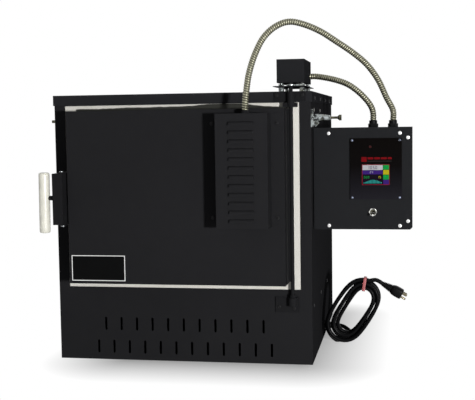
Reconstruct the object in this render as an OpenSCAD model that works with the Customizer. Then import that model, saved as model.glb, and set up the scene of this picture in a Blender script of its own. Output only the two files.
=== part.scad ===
/* [Case] */
// Width of the case across the front
case_w = 560; // [520:5:640]
// Depth of the case, front plate to back wall
case_d = 550; // [500:5:620]
// Height of the case with its cap
case_h = 580; // [570:5:640]
// Thickness of all case and door sheet steel
sheet = 1.5; // [1:0.1:2]
// Height of the flange that the cap turns down over the walls
cap_lip = 22; // [16:1:30]
// How far the cap stands out past the walls on each side
cap_over = 2.2; // [2:0.1:4]
// Height of the firing chamber's brickwork above the floor
block_z = 161; // [150:1:175]
// Width of the frame at each side of the opening that shows the bricks
stile_w = 24; // [22:1:40]
// Distance between two vent slots
slot_pitch = 35; // [30:1:40]
// Number of slots in the upper vent row, the lower row has one more
slot_count = 11; // [7:1:13]
// Width of a vent slot
slot_w = 5; // [4:0.5:7]
// Length of a vent slot, end to end
slot_l = 29; // [20:1:32]

/* [Firebrick] */
// Thickness of the chamber walls
brick_t = 64; // [50:1:76]
// Depth of the brickwork from front to back
block_d = 465; // [430:5:475]
// Radius of a heating element's coil
element_r = 4.7; // [3:0.1:6]
// Distance between the element rows on a side wall
element_pitch = 70; // [50:5:80]

/* [Door] */
// How much narrower the door pan is than the opening
door_less_w = 48; // [44:1:70]
// How much lower the door pan is than the opening
door_less_h = 30; // [28:1:60]
// How far the door's front stands out from the frame
door_proud = 65; // [60:1:75]
// Gap between the door pan's back edge and the frame
door_gap = 2.5; // [2:0.5:4]
// Radius of the hinge rod
hinge_r = 4; // [3:0.5:5]
// Running clearance of the hinge rod, on the radius
hinge_fit = 0.05; // [0.02:0.01:0.09]

/* [Element cover] */
// Width of the louvred box
cover_w = 106; // [90:2:120]
// Height of the louvred box
cover_h = 232; // [220:2:250]
// Depth of the louvred box
cover_d = 55; // [40:1:70]
// Width of the flange beside the box
flange_w = 27; // [22:1:30]
// Number of louvres
louvre_count = 12; // [6:1:12]
// Distance between two louvres
louvre_pitch = 17.8; // [14:0.2:18.4]
// Width of a louvre
louvre_w = 50; // [30:2:80]
// Radius of a louvre's hood
louvre_r = 6; // [4:0.5:7]

/* [Latch] */
// Height of the latch lever
lever_h = 108; // [90:2:130]
// Diameter of the hand grip
grip_d = 23; // [18:1:28]
// Length of the hand grip
grip_l = 128; // [100:2:140]
// Radius of the latch's pivot pin
pin_r = 3; // [2:0.5:4]

/* [Control box] */
// Width of the control panel
panel_w = 207; // [190:1:230]
// Height of the control panel
panel_h = 216; // [200:1:240]
// Depth of the control box behind its panel
panel_d = 100; // [80:5:140]
// Width of the display's bezel
bezel_w = 108; // [90:1:112]
// Height of the display's bezel
bezel_h = 129; // [110:1:140]
// Width of the touch screen
screen_w = 58.5; // [50:0.5:70]
// Height of the touch screen
screen_h = 44; // [36:0.5:60]

/* [Conduits and cord] */
// Outer radius of a conduit over its ribs
conduit_r = 6.8; // [6:0.1:8]
// Bore radius of a conduit
conduit_bore = 4.9; // [4:0.1:5.4]
// Distance between two ribs of a conduit
rib_pitch = 4.8; // [4.5:0.1:8]
// Diameter of the power cord
cord_d = 9.5; // [8:0.1:9.6]

/* [Hidden] */
$fn = 32;
front_y = -case_d / 2;
back_y = case_d / 2;
fit = 0.3;
rest_gap = 0.25;
pan_lip = 12;

// screws, as places that the holes share
screw_r = 1.8;
screw_fit = 0.1;
screw_deep = 1.3;
cap_screw_y = [for (k = [0 : 3]) front_y + 60 + (case_d - 160) / 3 * k];
cap_screw_z = case_h - 14;
shelf_screw_y = [for (k = [0 : 2]) front_y + 35 + (case_d - 220) / 2 * k];
shelf_screw_z = block_z - 39;
side_screw_y = [front_y + 60, front_y + 200];
side_screw_z = case_h - 39;

// brickwork
opening_w = case_w - 2 * stile_w;
block_top = case_h - cap_lip - 1;
brick_x = opening_w / 2 - 0.5;
brick_low = block_z + 0.5;
brick_high = block_top - 0.5;
brick_back = front_y + block_d;
chamber_x = brick_x - brick_t;
chamber_low = brick_low + brick_t;
chamber_high = brick_high - brick_t;
chamber_mid = (chamber_low + chamber_high) / 2;
chamber_back = brick_back - brick_t;
element_rows = 3;
groove_r = element_r + fit;
groove_in = element_r - 0.7;
element_end = 24;

// door, closed
door_w = opening_w - door_less_w;
door_h = block_top - block_z - door_less_h;
door_y = front_y - door_proud;
door_back = front_y - door_gap;
door_z = (block_z + block_top) / 2 - door_h / 2 + 3;
door_top = door_z + door_h;
door_x = door_w / 2;
door_brick_back = front_y - 0.8;
door_mid = door_z + door_h / 2;
door_rows = [-element_pitch, 0, element_pitch];
door_element_x = 150;
sensor_y = chamber_back - 60;
sensor_block = 9;

// hinge
leaf_t = 2;
leaf_d = 44;
leaf_end = 1.5;
hinge_x = door_x + leaf_t + hinge_r + 2;
hinge_y = front_y - 11;
rod_high = case_h + 17;
boss_r = hinge_r + 4;
top_lug_z = case_h - cap_lip - 11;
low_lug_z = block_z - 33;
low_lug_h = 18;
rod_low = low_lug_z + 2;
collar_r = hinge_r + 2.5;
bracket_t = 3;
top_plate_y = front_y - cap_over;
top_screw = [[hinge_x - 31, case_h - 8], [hinge_x + 23, case_h - 8]];
low_screw = [[hinge_x - 30, low_lug_z - 3.5], [hinge_x + 2.3, low_lug_z - 6.3]];

// switch box over the hinge
switch_w = 58;
switch_h = 49;
switch_d = 140;
switch_x = hinge_x - 31;
switch_y = front_y;
switch_z = case_h + 18;
plate_z = case_h + 9;
bolt_r = 3;
bolt_x = [8, switch_w - 6];
bolt_y = [14, switch_d - 16];
cam_z = switch_z - 7;
cam_t = 3;

// element cover
cover_x = door_x - flange_w - cover_w;
cover_z = door_top - 10 - cover_h;
cover_y = door_y - cover_d;
cover_mid_x = cover_x + cover_w / 2;
louvre_z = cover_z + cover_h / 2 - 4;
left_flange = flange_w + 6;
entry_x = cover_mid_x + 5;
entry_y = door_y - cover_d / 2;
ring_t = 6;
cover_screw = [for (z = [cover_z + 18, cover_z + cover_h - 20]) for (x = [cover_x - 17, door_x - 15]) [x, z]];

// latch on the door's left edge
pivot_x = -door_x - pin_r - 5;
pivot_y = door_y - 12;
latch_z = door_mid - 1;
lever_low = latch_z - lever_h / 2;
lever_high = latch_z + lever_h / 2;
lever_w = 22;
lever_d = 26;
lever_x = pivot_x - 16;
lever_y = pivot_y - 16;
wall = 2;
lug_t = 2;
stud_l = 7;
grip_x = lever_x - stud_l - grip_d / 2;
tongue_t = 3;
tongue_x = pivot_x - pin_r - 1 - tongue_t;
tongue_h = 24;
grip_low = latch_z - 72;

// control box
panel_y = front_y + 34;
panel_x = case_w / 2 + 2;
panel_z = case_h - 293;
panel_t = 2;
box_inset = 2;
corner_cut = 5;
box_x = panel_x + box_inset;
box_w = panel_w - 2 * box_inset;
box_h = panel_h - 2 * box_inset;
box_z = panel_z + box_inset;
box_y = panel_y + panel_t;
bezel_x = panel_x + 77;
bezel_z = panel_z + 64;
bezel_t = 3;
screen_x = bezel_x + 24.5;
screen_z = bezel_z + 30;
led_x = bezel_x + 42.5;
led_z = bezel_z + 111;
toggle_x = panel_x + 124.7;
toggle_z = panel_z + 37;
toggle_r = 6;
toggle_tilt = 18;
bat_l = 17;
toggle_pin_l = 5.6;
panel_screw = [[32, 204], [181, 203], [32, 8], [181, 8], [197.7, 193.5], [197.7, 18]];
fitting_x = [panel_x + 124, panel_x + 166];
fitting_y = panel_y + 50;
fitting_top = panel_z + panel_h + 15;
fitting_r = 10;
fitting_seat = 4.7;

// conduit routes, their points measured from the case's top right front corner
corner = [case_w / 2, front_y, case_h];
switch_exit = [switch_x + switch_w, front_y + 125, switch_z + 17];
door_route = concat([[entry_x, entry_y, cover_z + cover_h + fit]], [for (p = [
    [-123, -92.5, -25], [-120, -90, 5], [-116, -83, 35], [-106, -71, 72], [-90, -57, 107],
    [-68, -42, 130], [-42, -28, 141], [-14, -14, 137], [20, 4, 123], [53, 24, 102],
    [85, 42, 80], [114, 58, 55], [137, 71, 23], [154, 80, -14]]) corner + p], [
    [fitting_x[1], fitting_y, fitting_top + 20], [fitting_x[1], fitting_y, fitting_top - fitting_seat]]);
switch_route = concat([switch_exit + [fit, 0, 0], switch_exit + [12, -1, 0]], [for (p = [
    [19.5, 117, 31.8], [46, 107, 25.2], [71, 97, 15.5], [92.7, 89, 0.2], [111, 85, -18],
    [122, 84, -34]]) corner + p], [
    [fitting_x[0], fitting_y, fitting_top + 14], [fitting_x[0], fitting_y, fitting_top - fitting_seat]]);

// power cord: gland on the right wall, a coil that stands on the floor, and the plug
cord_r = cord_d / 2;
gland = [case_w / 2, 25, 24];
gland_l = 26;
beside = [case_w / 2, 0, 0];
coil_mid = beside + [75, -58, 75.5];
coil_tilt = 33;
coil_core = 36;
coil_r = 48;
coil_step = 12;
coil_lean = 0.1;
coil_turns = 2;
coil_depth = 11;
coil_rings = 24;
coil_start = 185;
coil_climb = 175;
lead_route = [for (p = [
    [46, 24, 21], [62, 14, 12], [72, -4, 6], [73, -24, 4.9], [63, -42, 5.1], [48, -51, 5.4]]) beside + p];
tail_route = [for (p = [[125, -63, 150], [135, -62.5, 146]]) beside + p];
plug_at = beside + [142, -62, 141];
plug_turn = 119;
tie_at = 22;
tie_normal = 24;
tie_w = 7;
tie_t = 1.2;

// a box from its low corner to its high corner
module span(a, b) translate(a) cube(b - a);

// a cylinder that runs along +X, +Y or +Z from a point
module rod_x(p, l, r) translate(p) rotate([0, 90, 0]) cylinder(h = l, r = r);
module rod_y(p, l, r) translate(p) rotate([-90, 0, 0]) cylinder(h = l, r = r);
module rod_z(p, l, r) translate(p) cylinder(h = l, r = r);

// a hole for a screw's shank, through a sheet behind the point
module hole_y(p) rod_y(p - [0, 1, 0], sheet + bracket_t + 1, screw_r + screw_fit);
module side_hole(side, y, z) rod_x([side * case_w / 2 - 5, y, z], 10, screw_r + screw_fit);

// a pan head screw whose head faces -Y, its shank in the sheet behind
module screw_y(p, head = 4, high = 2, shank = screw_r, deep = screw_deep) {
    translate(p) rotate([90, 0, 0]) {
        cylinder(h = high * 0.6, r = head);
        translate([0, 0, high * 0.6]) cylinder(h = high * 0.4, r1 = head, r2 = head * 0.65, $fn = 24);
        translate([0, 0, -deep]) cylinder(h = deep, r = shank);
    }
}

function unit(v) = v / norm(v);
function lerp(a, b, t) = a + (b - a) * t;
function spline_point(p, i, t) =
    let (a = p[max(i - 1, 0)], b = p[i], c = p[i + 1], d = p[min(i + 2, len(p) - 1)])
    0.5 * (2 * b + (c - a) * t + (2 * a - 5 * b + 4 * c - d) * t * t
        + (3 * b - a - 3 * c + d) * t * t * t);
function route_sum(p, i = 1) = i >= len(p) ? 0 : norm(p[i] - p[i - 1]) + route_sum(p, i + 1);
function running(p) = [for (i = 0, s = 0; i < len(p);
    i = i + 1, s = s + (i < len(p) ? norm(p[i] - p[i - 1]) : 0)) s];
// points at even steps along a chain of points
function even_points(p, n) =
    let (s = running(p), total = s[len(s) - 1])
    [for (k = [0 : n]) let (at = min(total * k / n, total - 0.001),
        i = max([for (j = [0 : len(s) - 2]) if (s[j] <= at) j]))
        lerp(p[i], p[i + 1], (at - s[i]) / (s[i + 1] - s[i]))];
function smooth(p, steps = 8) = concat([for (i = [0 : len(p) - 2]) for (k = [0 : steps - 1])
    spline_point(p, i, k / steps)], [p[len(p) - 1]]);
function tangent(p, i) = unit(p[min(i + 1, len(p) - 1)] - p[max(i - 1, 0)]);
// a ring of points square to a direction
function ring(c, t, side, r, n) =
    let (u = unit(side - t * (side * t)), v = cross(t, u))
    [for (k = [0 : n - 1]) c + r * (cos(360 * k / n) * u + sin(360 * k / n) * v)];

// tube of one radius per point, or of two radii that alternate as ribs
module sweep(p, radii, side, n) {
    count = len(p);
    pts = [for (i = [0 : count - 1]) each ring(p[i], tangent(p, i), side, radii[i], n)];
    quads = [for (i = [0 : count - 2]) for (k = [0 : n - 1])
        let (a = i * n + k, b = i * n + (k + 1) % n) each [[a, b, b + n], [a, b + n, a + n]]];
    ends = concat([for (k = [1 : n - 2]) [0, k + 1, k]],
        [for (k = [1 : n - 2]) [(count - 1) * n, (count - 1) * n + k, (count - 1) * n + k + 1]]);
    polyhedron(points = pts, faces = [for (f = concat(quads, ends)) [f[0], f[2], f[1]]]);
}

// ribbed tube with its bore, as one skin that runs out along the ribs and back inside
module ribbed_hose(route, side, sides = 8) {
    path = smooth(route);
    ribs = floor(route_sum(path) / rib_pitch);
    p = even_points(path, 2 * ribs);
    count = len(p);
    outer = [for (i = [0 : count - 1]) each ring(p[i], tangent(p, i), side,
        i % 2 == 0 ? conduit_r - 0.7 : conduit_r, sides)];
    core_at = [for (i = [0 : 6 : count - 1]) i];
    core = concat([for (i = core_at) if (i < count - 4) i], [count - 1]);
    inner = [for (i = core) each ring(p[i], tangent(p, i), side, conduit_bore, sides)];
    n = sides;
    m = count * n;
    last_in = m + (len(core) - 1) * n;
    wall_out = [for (i = [0 : count - 2]) for (k = [0 : n - 1])
        let (a = i * n + k, b = i * n + (k + 1) % n) each [[a, b + n, b], [a, a + n, b + n]]];
    wall_in = [for (i = [0 : len(core) - 2]) for (k = [0 : n - 1])
        let (a = m + i * n + k, b = m + i * n + (k + 1) % n) each [[a, b, b + n], [a, b + n, a + n]]];
    rims = [for (k = [0 : n - 1]) let (j = (k + 1) % n) each [
        [k, j, m + j], [k, m + j, m + k],
        [m - n + k, last_in + j, m - n + j], [m - n + k, last_in + k, last_in + j]]];
    polyhedron(points = concat(outer, inner), faces = concat(wall_out, wall_in, rims));
}

module base_pan() color([0.13, 0.13, 0.15]) difference() {
    span([-case_w / 2 + sheet, front_y + sheet, 0], [case_w / 2 - sheet, back_y - sheet, pan_lip]);
    span([-case_w / 2 + 2 * sheet, front_y + 2 * sheet, sheet],
        [case_w / 2 - 2 * sheet, back_y - 2 * sheet, pan_lip + 1]);
}

module case_wrap() color([0.12, 0.12, 0.14]) difference() {
    span([-case_w / 2, front_y + sheet, 0], [case_w / 2, back_y, case_h - sheet]);
    span([-case_w / 2 + sheet, front_y, -1], [case_w / 2 - sheet, back_y - sheet, case_h]);
    rod_x([gland[0] - 2 * sheet, gland[1], gland[2]], 3 * sheet, cord_r + 4);
    for (side = [-1, 1]) for (y = shelf_screw_y) side_hole(side, y, shelf_screw_z);
    for (y = side_screw_y) side_hole(1, y, side_screw_z);
}

module slot_row(count, z) for (i = [0 : count - 1]) {
    x = (i - (count - 1) / 2) * slot_pitch;
    rod_y([x, front_y - 1, z + slot_l / 2 - slot_w / 2], sheet + 2, slot_w / 2);
    rod_y([x, front_y - 1, z - slot_l / 2 + slot_w / 2], sheet + 2, slot_w / 2);
    span([x - slot_w / 2, front_y - 1, z - slot_l / 2 + slot_w / 2],
        [x + slot_w / 2, front_y + sheet + 1, z + slot_l / 2 - slot_w / 2]);
}

module case_front() color([0.12, 0.12, 0.14]) difference() {
    span([-case_w / 2, front_y, 0], [case_w / 2, front_y + sheet, case_h - sheet]);
    span([-opening_w / 2, front_y - 1, block_z], [opening_w / 2, front_y + sheet + 1, block_top]);
    slot_row(slot_count, 80);
    slot_row(slot_count + 1, 29);
}

module top_cap() color([0.14, 0.14, 0.16]) {
    cx = case_w / 2 + cap_over;
    cy = case_d / 2 + cap_over;
    difference() {
        span([-cx, -cy, case_h - cap_lip], [cx, cy, case_h]);
        span([-cx + sheet, -cy + sheet, case_h - cap_lip - 1], [cx - sheet, cy - sheet, case_h - sheet]);
        for (side = [-1, 1]) for (y = cap_screw_y) side_hole(side, y, cap_screw_z);
    }
}

// screws of the cap, the brick shelf and the two hinge brackets
module case_screws() color([0.2, 0.2, 0.22]) {
    for (side = [-1, 1]) {
        for (y = cap_screw_y) translate([side * (case_w / 2 + cap_over), y, cap_screw_z])
            rotate([0, 0, side * 90]) screw_y([0, 0, 0], 3.6, 1.8);
        for (y = shelf_screw_y) translate([side * case_w / 2, y, shelf_screw_z])
            rotate([0, 0, side * 90]) screw_y([0, 0, 0], 3.6, 1.8);
    }
    for (p = top_screw) screw_y([p[0], top_plate_y - bracket_t, p[1]], deep = bracket_t - 0.2);
    for (p = low_screw) screw_y([p[0], front_y - bracket_t, p[1]], deep = bracket_t - 0.2);
}

module brick_shelf() color([0.45, 0.46, 0.48]) {
    x = case_w / 2 - sheet - 0.2;
    difference() {
        span([-x, front_y + 2 * sheet, block_z - 42], [x, brick_back + 20, block_z + 0.5]);
        span([-x + sheet, front_y, block_z - 43], [x - sheet, back_y, block_z + 0.5 - sheet]);
    }
}

module fibre_blanket() color([0.86, 0.85, 0.8]) {
    x = case_w / 2 - sheet - 0.5;
    difference() {
        span([-x, front_y + 2 * sheet, block_z + 1], [x, brick_back + 20, case_h - sheet - 0.5]);
        span([-brick_x - rest_gap, front_y, 0], [brick_x + rest_gap, brick_back + rest_gap, brick_high + rest_gap]);
        rod_z([0, sensor_y, brick_high], 40, sensor_block + fit);
    }
}

module chamber_floor() color([0.9, 0.89, 0.84])
    span([-brick_x, front_y, brick_low], [brick_x, brick_back, chamber_low]);

module chamber_roof() color([0.9, 0.89, 0.84]) difference() {
    span([-brick_x, front_y, chamber_high], [brick_x, brick_back, brick_high]);
    rod_z([0, sensor_y, chamber_high - 1], brick_t + 2, 3.5);
}

// side wall with its element grooves, on the +X side
module side_wall() difference() {
    span([chamber_x, front_y, chamber_low], [brick_x, brick_back, chamber_high]);
    for (k = [0 : element_rows - 1])
        rod_y([chamber_x + groove_in, front_y + element_end, chamber_mid + (k - 1) * element_pitch],
            chamber_back - front_y - 2 * element_end, groove_r);
}

module chamber_right_wall() color([0.9, 0.89, 0.84]) side_wall();
module chamber_left_wall() color([0.9, 0.89, 0.84]) mirror([1, 0, 0]) side_wall();

module chamber_back_wall() color([0.9, 0.89, 0.84])
    span([-chamber_x, chamber_back, chamber_low], [chamber_x, brick_back, chamber_high]);

module chamber_elements() color([0.45, 0.4, 0.36]) for (side = [-1, 1])
    for (k = [0 : element_rows - 1])
        rod_y([side * (chamber_x + groove_in), front_y + element_end + 1,
            chamber_mid + (k - 1) * element_pitch],
            chamber_back - front_y - 2 * element_end - 2, element_r);

module thermocouple() color([0.75, 0.73, 0.68]) {
    rod_z([0, sensor_y, chamber_high - 45], brick_t + 45 + 12, 3.2);
    rod_z([0, sensor_y, brick_high + 0.2], 9, sensor_block);
}

module boss_bore(low, high) rod_z([hinge_x, hinge_y, low - 1], high - low + 2, hinge_r + hinge_fit);

module hinge_bracket_top() color([0.13, 0.13, 0.15]) difference() {
    union() {
        span([hinge_x - 36, top_plate_y - bracket_t, case_h - cap_lip + 1],
            [hinge_x + 30, top_plate_y, case_h - 1]);
        span([hinge_x - 17, hinge_y - 4, top_lug_z], [hinge_x + 13, top_plate_y, top_lug_z + 9]);
        rod_z([hinge_x, hinge_y, top_lug_z], case_h - 1 - top_lug_z, boss_r);
    }
    boss_bore(top_lug_z, case_h);
    for (p = top_screw) hole_y([p[0], top_plate_y - bracket_t, p[1]]);
}

module hinge_bracket_bottom() color([0.13, 0.13, 0.15]) difference() {
    union() {
        span([hinge_x - 38, front_y - bracket_t, low_lug_z - 15], [hinge_x + 13, front_y, low_lug_z + low_lug_h]);
        span([hinge_x - 9, hinge_y, low_lug_z], [hinge_x + 9, front_y, low_lug_z + low_lug_h]);
        rod_z([hinge_x, hinge_y, low_lug_z], low_lug_h, boss_r + 1);
    }
    boss_bore(low_lug_z, low_lug_z + low_lug_h);
    for (p = low_screw) hole_y([p[0], front_y - bracket_t, p[1]]);
}

module switch_plate() color([0.16, 0.16, 0.17]) difference() {
    span([switch_x - 4, hinge_y - 20, plate_z], [switch_x + switch_w + 5, switch_y + switch_d + 12, plate_z + sheet]);
    for (x = bolt_x) for (y = bolt_y) rod_z([switch_x + x, switch_y + y, plate_z - 1], 4, bolt_r + 0.1);
    rod_z([hinge_x, hinge_y, plate_z - 1], 4, hinge_r + 1);
}

// four zinc bolts that carry the switch box clear of the cap, with their nuts
module switch_bolts() color([0.75, 0.77, 0.78]) for (x = bolt_x) for (y = bolt_y)
    translate([switch_x + x, switch_y + y, case_h]) {
        cylinder(h = switch_z - case_h, r = bolt_r);
        cylinder(h = plate_z - case_h - 0.02, r = bolt_r + 3, $fn = 6);
        translate([0, 0, plate_z - case_h + sheet + 0.02]) cylinder(h = 5, r = bolt_r + 3, $fn = 6);
    }

module switch_base() color([0.12, 0.12, 0.14]) difference() {
    span([switch_x, switch_y, switch_z], [switch_x + switch_w, switch_y + switch_d, switch_z + sheet]);
    rod_z([hinge_x + 13, hinge_y + 14.5, switch_z - 1], 4, 2);
}

module switch_cover() color([0.12, 0.12, 0.14]) difference() {
    span([switch_x, switch_y, switch_z + sheet], [switch_x + switch_w, switch_y + switch_d, switch_z + switch_h]);
    span([switch_x + sheet, switch_y + sheet, switch_z],
        [switch_x + switch_w - sheet, switch_y + switch_d - sheet, switch_z + switch_h - sheet]);
    rod_x(switch_exit - [2 * sheet, 0, 0], 4 * sheet, conduit_bore - 0.5);
}

// snap switch on the floor of its box, its button over the cam
module limit_switch() color([0.2, 0.2, 0.22]) {
    span([hinge_x + 8, switch_y + sheet + 0.5, switch_z + sheet], [hinge_x + 24, switch_y + 34, switch_z + 20]);
    rod_z([hinge_x + 13, hinge_y + 14.5, cam_z + cam_t + 0.4], 12, 1.6);
}

// zinc angle on the case's side at its front corner, with the ear that the side bolt runs through
module side_clip() color([0.78, 0.8, 0.8]) {
    z = case_h - 75;
    difference() {
        union() {
            span([case_w / 2, front_y, z], [case_w / 2 + 5, front_y + sheet, z + 37]);
            span([case_w / 2, front_y, z], [case_w / 2 + sheet, front_y + 30, z + 37]);
            rod_x([case_w / 2 + sheet, front_y + 14, z + 19], 12, 8);
            translate([case_w / 2 + sheet + 12, front_y + 14, z + 19]) rotate([0, 90, 0])
                cylinder(h = 26, r1 = 8, r2 = 5);
        }
        rod_x([case_w / 2 - 1, front_y + 14, z + 19], 60, 2.7);
    }
    translate([case_w / 2 + sheet, front_y + 2.5, z]) rotate([90, 0, 0]) linear_extrude(2)
        polygon([[0, 12], [0, 5], [8, 0], [16, 8], [12, 13.5]]);
}

module side_bolts() color([0.72, 0.72, 0.66]) {
    z = case_h - 56;
    rod_x([case_w / 2 + 0.1, front_y + 14, z], 57, 2.6);
    translate([case_w / 2 + 55, front_y + 14, z]) rotate([0, 90, 0]) cylinder(h = 3, r1 = 3, r2 = 6);
    rod_x([case_w / 2 + 58, front_y + 14, z], 5, 6);
    for (y = side_screw_y) translate([case_w / 2, y, side_screw_z]) rotate([0, 0, 90]) screw_y([0, 0, 0]);
    rod_x([-case_w / 2 - 11, front_y + 14, z], 11, 3.2);
    translate([-case_w / 2 - 3.5, front_y + 14, z]) rotate([0, 90, 0])
        cylinder(h = 3.5, r = 6, $fn = 6);
}

module control_box() color([0.12, 0.12, 0.14]) difference() {
    span([box_x, box_y, box_z], [box_x + box_w, panel_y + panel_d, box_z + box_h]);
    span([box_x + sheet, box_y - 1, box_z + sheet],
        [box_x + box_w - sheet, panel_y + panel_d - sheet, box_z + box_h - sheet]);
    for (x = fitting_x) rod_z([x, fitting_y, box_z + box_h - 2 * sheet], 3 * sheet, 6.5);
}

module box_spacers() color([0.2, 0.2, 0.22]) for (y = [20, 75]) for (z = [30, panel_h - 30])
    rod_x([case_w / 2, panel_y + y, panel_z + z], box_x - case_w / 2, 6);

module control_panel() color([0.12, 0.12, 0.14]) difference() {
    translate([panel_x, panel_y + panel_t, panel_z]) rotate([90, 0, 0]) linear_extrude(panel_t)
        polygon([[0, 0], [panel_w - corner_cut, 0], [panel_w, corner_cut], [panel_w, panel_h], [0, panel_h]]);
    rod_y([toggle_x, panel_y - 1, toggle_z], 4, toggle_r);
    rod_y([led_x, panel_y - 1, led_z], 4, 2.6);
    span([screen_x - 2, panel_y - 1, screen_z - 2],
        [screen_x + screen_w + 2, panel_y + 3, screen_z + screen_h + 2]);
    for (s = panel_screw) hole_y([panel_x + s[0], panel_y, panel_z + s[1]]);
}

module panel_screws() color([0.85, 0.85, 0.83]) for (s = panel_screw)
    screw_y([panel_x + s[0], panel_y, panel_z + s[1]], 4.2, 2.2);

module display_bezel() color([0.05, 0.05, 0.08]) difference() {
    span([bezel_x, panel_y - bezel_t, bezel_z], [bezel_x + bezel_w, panel_y, bezel_z + bezel_h]);
    span([screen_x, panel_y - 5, screen_z], [screen_x + screen_w, panel_y + 1, screen_z + screen_h]);
    rod_y([led_x, panel_y - 5, led_z], 7, 2.6);
    for (x = [4.5, bezel_w - 4.5]) for (z = [4, bezel_h - 4.5])
        rod_y([bezel_x + x, panel_y - 5, bezel_z + z], 7, 1.6);
}

module bezel_screws() color([0.35, 0.35, 0.37]) for (x = [4.5, bezel_w - 4.5])
    for (z = [4, bezel_h - 4.5])
        screw_y([bezel_x + x, panel_y - bezel_t, bezel_z + z], 2.8, 1.5, 1.5, bezel_t - 0.1);

module touch_screen() color([0.35, 0.3, 0.6])
    span([screen_x + 0.2, panel_y - 2, screen_z + 0.2],
        [screen_x + screen_w - 0.2, panel_y + 5, screen_z + screen_h - 0.2]);

module controller_board() color([0.1, 0.35, 0.2]) difference() {
    span([bezel_x + 8, panel_y + 5.2, bezel_z + 8], [bezel_x + bezel_w - 8, panel_y + 7, bezel_z + bezel_h - 8]);
    rod_y([led_x, panel_y + 5, led_z], 4, 2.8);
}

module relay() color([0.8, 0.78, 0.72]) {
    y = panel_y + panel_d - sheet;
    span([box_x + 20, y - 26, box_z + 60], [box_x + 65, y, box_z + 118]);
    span([box_x + 120, y - 12, box_z + 70], [box_x + 185, y, box_z + 90]);
}

module status_lamp() color([0.85, 0.1, 0.08]) {
    rod_y([led_x, panel_y - bezel_t - 0.6, led_z], 9.4, 2.5);
}

module toggle_switch() color([0.75, 0.76, 0.76]) {
    difference() {
        union() {
            rod_y([toggle_x, panel_y - 9, toggle_z], 9 + panel_t, toggle_r - 0.1);
            span([toggle_x - 8, panel_y + panel_t, toggle_z - 14], [toggle_x + 8, panel_y + 22, toggle_z + 14]);
        }
        rod_y([toggle_x, panel_y - 10, toggle_z], 8, 4.6);
    }
}

module toggle_nut() color([0.8, 0.81, 0.8]) difference() {
    translate([toggle_x, panel_y, toggle_z]) rotate([90, 0, 0]) cylinder(h = 2.6, r = 8.6, $fn = 6);
    rod_y([toggle_x, panel_y - 4, toggle_z], 5, toggle_r);
}

// bat lever on its pivot inside the bush, resting downwards
module toggle_lever() color([0.82, 0.83, 0.82])
    translate([toggle_x, panel_y - 4.6, toggle_z]) rotate([toggle_tilt, 0, 0]) {
        sphere(r = 2.3, $fn = 24);
        rod_x([-toggle_pin_l / 2, 0, 0], toggle_pin_l, 1.2);
        rotate([90, 0, 0]) rotate_extrude($fn = 24)
            polygon([[0, 0], [1.5, 0], [2.7, bat_l - 3], [2.3, bat_l - 0.8], [1.3, bat_l], [0, bat_l]]);
    }

module conduit_fittings() color([0.1, 0.1, 0.11]) for (x = fitting_x) difference() {
    union() {
        rod_z([x, fitting_y, panel_z + panel_h - box_inset], fitting_top - panel_z - panel_h + box_inset - 1, 8.6);
        translate([x, fitting_y, panel_z + panel_h - box_inset]) cylinder(h = 9, r = fitting_r + 0.8, $fn = 6);
        rod_z([x, fitting_y, panel_z + panel_h - box_inset - 8], 8, 6.3);
    }
    rod_z([x, fitting_y, panel_z + panel_h - 20], 40, 4.5);
    rod_z([x, fitting_y, fitting_top - 5], 10, conduit_r + fit);
}

module switch_conduit() color([0.62, 0.62, 0.55]) ribbed_hose(switch_route, [0, 1, 0]);

module door_conduit() color([0.62, 0.62, 0.55]) ribbed_hose(door_route, [1, -2, 0]);

// sprung catch beside the latch tongue
module catch_plate() color([0.7, 0.72, 0.72]) {
    x = tongue_x + tongue_t + 1;
    span([-case_w / 2 + 4, front_y - sheet, latch_z - 16], [x + sheet, front_y, latch_z + 16]);
    span([x, front_y - 24, latch_z - 12], [x + sheet, front_y, latch_z + 12]);
}

module strain_relief() color([0.08, 0.08, 0.08]) difference() {
    union() {
        translate(gland) rotate([0, 90, 0]) cylinder(h = 8, r = 11, $fn = 6);
        translate(gland + [8, 0, 0]) rotate([0, 90, 0]) cylinder(h = gland_l - 8, r1 = 9, r2 = cord_r + 1.6);
        rod_x(gland - [8, 0, 0], 8, cord_r + 3.8);
    }
    rod_x(gland + [gland_l - 6, 0, 0], 10, cord_r + 0.2);
}

// a point of the coil: one layer spirals in, the cord climbs, the other layer spirals out
coil_in_end = 360 * coil_turns;
coil_out = coil_in_end + coil_climb;
coil_sweep = coil_out + 360 * coil_turns;
function coil_inset(g) = g <= coil_in_end ? g / 360 : g >= coil_out ? (coil_sweep - g) / 360 : coil_turns;
function coil_layer(g) = g <= coil_in_end ? 0 : g >= coil_out ? 1 : (g - coil_in_end) / coil_climb;
function coil_place(angle, inset, depth) =
    let (c = cos(angle), r = coil_r - inset, v = r * sin(angle) - coil_lean * inset,
        u = coil_core * c / sqrt(c * c + 0.15) + r * c + coil_lean * inset)
    coil_mid + [u * sin(coil_tilt) - v * cos(coil_tilt), depth, u * cos(coil_tilt) + v * sin(coil_tilt)];
function coil_point(g) =
    coil_place(coil_start - g, coil_inset(g) * coil_step, coil_depth * (0.5 - coil_layer(g)));
coil_count = ceil(coil_sweep / 360 * coil_rings);
coil_path = [for (k = [0 : coil_count]) coil_point(coil_sweep * k / coil_count)];
coil_last = coil_path[coil_count];
coil_gap = min([for (i = [0 : coil_count]) for (j = [i + coil_rings / 2 : 1 : coil_count])
    norm(coil_path[i] - coil_path[j])]) - cord_d;
echo(coil_gap = coil_gap, coil_first = coil_path[0], coil_last = coil_last,
    coil_floor = min([for (p = coil_path) p[2]]) - cord_r);

module cord_coil() color([0.05, 0.05, 0.05])
    sweep(coil_path, [for (p = coil_path) cord_r], [0, 1, 0], 6);

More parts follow.
